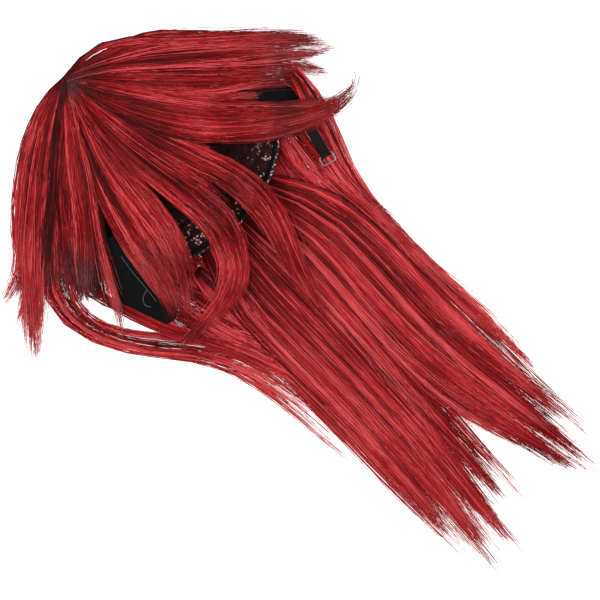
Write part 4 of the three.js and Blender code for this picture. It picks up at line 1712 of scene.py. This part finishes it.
    def strap(self) -> bpy.types.Object:
        """The nape strap, from the rim down and round the bar of its hook.

        Returns:
            The linked object.
        """
        stations, columns = self.strap_grid
        t = np.linspace(*self.strap_span, stations)[:, None]
        eye = np.array([self.strap_run, -self.strap_drop])
        bend = 2 * (1 - t) * t * np.array([self.strap_run / 2, 0]) + t * t * eye
        first = math.atan2(*(bend[-1] - eye)[::-1])
        turn = first + np.linspace(*self.eye_turn, self.eye_stations)[:, None]
        line = np.vstack([bend, eye + self.strap_eye * np.hstack([np.cos(turn), np.sin(turn)])])
        ahead = unit(np.gradient(line, axis=0))
        normal = np.stack([-ahead[:, 1], ahead[:, 0]], -1)
        across = np.linspace(-0.5, 0.5, columns) * self.strap_width
        yaw = math.radians(self.strap_turn)

        def face(offset: float) -> Array:
            """One face of the strap.

            Args:
                offset: How far it lies from the middle of the thickness.

            Returns:
                Its points as a grid.
            """
            moved = line + normal * offset
            run, wide = np.meshgrid(moved[:, 0], across, indexing="ij")
            rise = np.broadcast_to(moved[:, 1:], run.shape)
            x = run * math.cos(yaw) - wide * math.sin(yaw)
            y = run * math.sin(yaw) + wide * math.cos(yaw)
            return np.stack([x, y, rise], -1) + np.array(self.strap_root)

        half = self.strap_thickness / 2
        return self.shell("nape_strap_webbing", face(half), face(-half), False)

    def build(self, cloths: CapCloths) -> None:
        """Args:
            cloths: The cap's materials.
        """
        _, _, rim = CAP.axes()
        columns, rows = self.net_grid
        around, down = np.linspace(0, 360, columns, endpoint=False), np.linspace(self.net_pole, rim, rows)
        r, q = np.meshgrid(around, down)
        bowl = self.shell("cap_net_cloth", CAP.bowl(r, q, 0.0), CAP.bowl(r, q, -CAP.wall), True)
        dress(bowl, cloths.net, Slot.NET, "cap_net")
        for row in self.bands:
            band = self.ribbon(row.name + "_ribbon", row.span, (rim - row.depth, rim), self.band_thickness)
            dress(band, cloths.elastic, Slot.ELASTIC, row.name)
        for index in range(self.weft_rows):
            name = f"weft_row_{index + 1}"
            top = self.weft_first - self.weft_step * index
            depth = (top - self.weft_width, top)
            track = self.ribbon(name + "_track", self.weft_span, depth, self.weft_thickness)
            dress(track, cloths.weft, Slot.WEFT, name)
        for row in self.tabs:
            tab = self.tab(row)
            dress(tab, cloths.tab, Slot.TAB, row.name)
        dress(self.tab_thread(self.tabs[0]), cloths.thread, Slot.WEFT)
        strap = self.strap()
        dress(strap, cloths.elastic, Slot.ELASTIC, "nape_strap")


@dataclass(frozen=True)
class StrapHook:
    """The wire hook on the nape strap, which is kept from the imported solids."""

    node: str = "strap_hook"

    def dress(self, nodes: dict[str, bpy.types.Object], finish: bpy.types.Material) -> None:
        """Gives the hook its finish.

        Args:
            nodes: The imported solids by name.
            finish: The wire's material.
        """
        hook = nodes[self.node]
        hook.data.materials.clear()
        hook.data.materials.append(finish)
        LOG.info("%s: %d faces", self.node, len(hook.data.polygons))


@dataclass(frozen=True)
class Lamp:
    """One soft square lamp, aimed at the middle of the part."""

    name: str
    place: tuple[float, float, float]
    size: float
    power: float

    def build(self, scene: bpy.types.Scene) -> None:
        """Hangs the lamp.

        Args:
            scene: The scene.
        """
        lamp = bpy.data.lights.new(self.name, "AREA")
        lamp.size = self.size
        lamp.energy = self.power
        holder = bpy.data.objects.new(self.name, lamp)
        holder.location = self.place
        holder.rotation_euler = (-Vector(self.place)).to_track_quat("-Z", "Y").to_euler()
        scene.collection.objects.link(holder)


@dataclass
class Studio:
    """Floor, light and camera."""

    middle: tuple[float, float] = (300.0, 300.0)
    picture: float = 600.0
    lens: float = 1000.0
    sensor: float = 36.0
    sight: float = 100.0
    floor_size: float = 12.0
    floor_grey: float = 0.5
    floor_roughness: float = 0.9
    floor_glow: float = 0.82
    sky: float = 0.5
    lamps: tuple[Lamp, ...] = (
        Lamp("key", (-0.3, -0.25, 2.0), 1.2, 60),
        Lamp("fill", (0.7, 0.6, 1.8), 1.4, 14),
    )

    def build(self) -> None:
        """Builds the floor, the lights and the camera."""
        scene = bpy.context.scene
        self.floor()
        world = bpy.data.worlds.new("studio")
        scene.world = world
        world.use_nodes = True
        sky = world.node_tree.nodes["Background"]
        sky.inputs["Color"].default_value = (1, 1, 1, 1)
        sky.inputs["Strength"].default_value = self.sky
        for lamp in self.lamps:
            lamp.build(scene)
        self.camera(scene)
        scene.view_settings.view_transform = "Standard"
        scene.cycles.denoising_prefilter = "NONE"

    def floor(self) -> None:
        """Lays a white floor that glows a little, so that shadows on it stay pale."""
        bpy.ops.mesh.primitive_plane_add(size=self.floor_size)
        floor = bpy.context.object
        floor.name = "floor"
        made, _, _, shader = blank("floor_white")
        shader.inputs["Base Color"].default_value = (self.floor_grey, self.floor_grey, self.floor_grey, 1)
        shader.inputs["Roughness"].default_value = self.floor_roughness
        shader.inputs["Emission Color"].default_value = (1, 1, 1, 1)
        shader.inputs["Emission Strength"].default_value = self.floor_glow
        floor.data.materials.append(made)

    def camera(self, scene: bpy.types.Scene) -> None:
        """Puts the camera straight above the picture's middle.

        Args:
            scene: The scene.
        """
        data = bpy.data.cameras.new("camera")
        data.lens = self.lens
        data.sensor_width = self.sensor
        data.clip_end = self.sight
        camera = bpy.data.objects.new("camera", data)
        centre = LAY.place(np.array([*LAY.plan(np.array(self.middle)), 0.0]))
        across = Vector((*LAY.roll, 0)).normalized()
        basis = Matrix((across, Vector((-across.y, across.x, 0)), Vector((0, 0, 1)))).transposed().to_4x4()
        away = self.picture * LAY.pixel * MM * self.lens / self.sensor
        camera.matrix_world = Matrix.Translation(Vector((centre[0], centre[1], away))) @ basis
        scene.collection.objects.link(camera)
        scene.camera = camera


def cap_cloths() -> CapCloths:
    """The finishes of the cap.

    Returns:
        Their materials.
    """
    glints = LaceGlints()
    net = ClothFinish(
        "cap_net", (0.034, 0.007, 0.007), (0.010, 0.008, 0.008), 420, 0.8, thread_width=0.14, lace=glints
    )
    elastic = ClothFinish(
        "elastic", (0.003, 0.0035, 0.004), (0.009, 0.010, 0.010), 900, 0.6, roughness=0.7, gloss=0.08
    )
    tab = ClothFinish("ear_tab_cloth", (0.002, 0.002, 0.0025), (0.004, 0.004, 0.0045), 1400, 0.3, gloss=0.05)
    thread = ClothFinish("sewing_thread", (0.10, 0.09, 0.09), (0.20, 0.18, 0.18), 2200, 0.4, thread_width=0.2)
    weft = ClothFinish("weft_stitching", (0.010, 0.003, 0.004), (0.05, 0.01, 0.013), 700, 0.7)
    return CapCloths(
        net=net.material(),
        elastic=elastic.material(),
        tab=tab.material(),
        thread=thread.material(),
        weft=weft.material(),
    )


def main() -> None:
    """Builds the wig and its studio."""
    logging.basicConfig(level=logging.INFO)
    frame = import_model()
    hair = HairFinish().material()
    Studio().build()
    Cap().build(cap_cloths())
    StrapHook().dress(frame["nodes"], WireFinish().material())
    ShortLayers().build(hair)
    LongHair().build(hair)


if __name__ == "__main__":
    main()
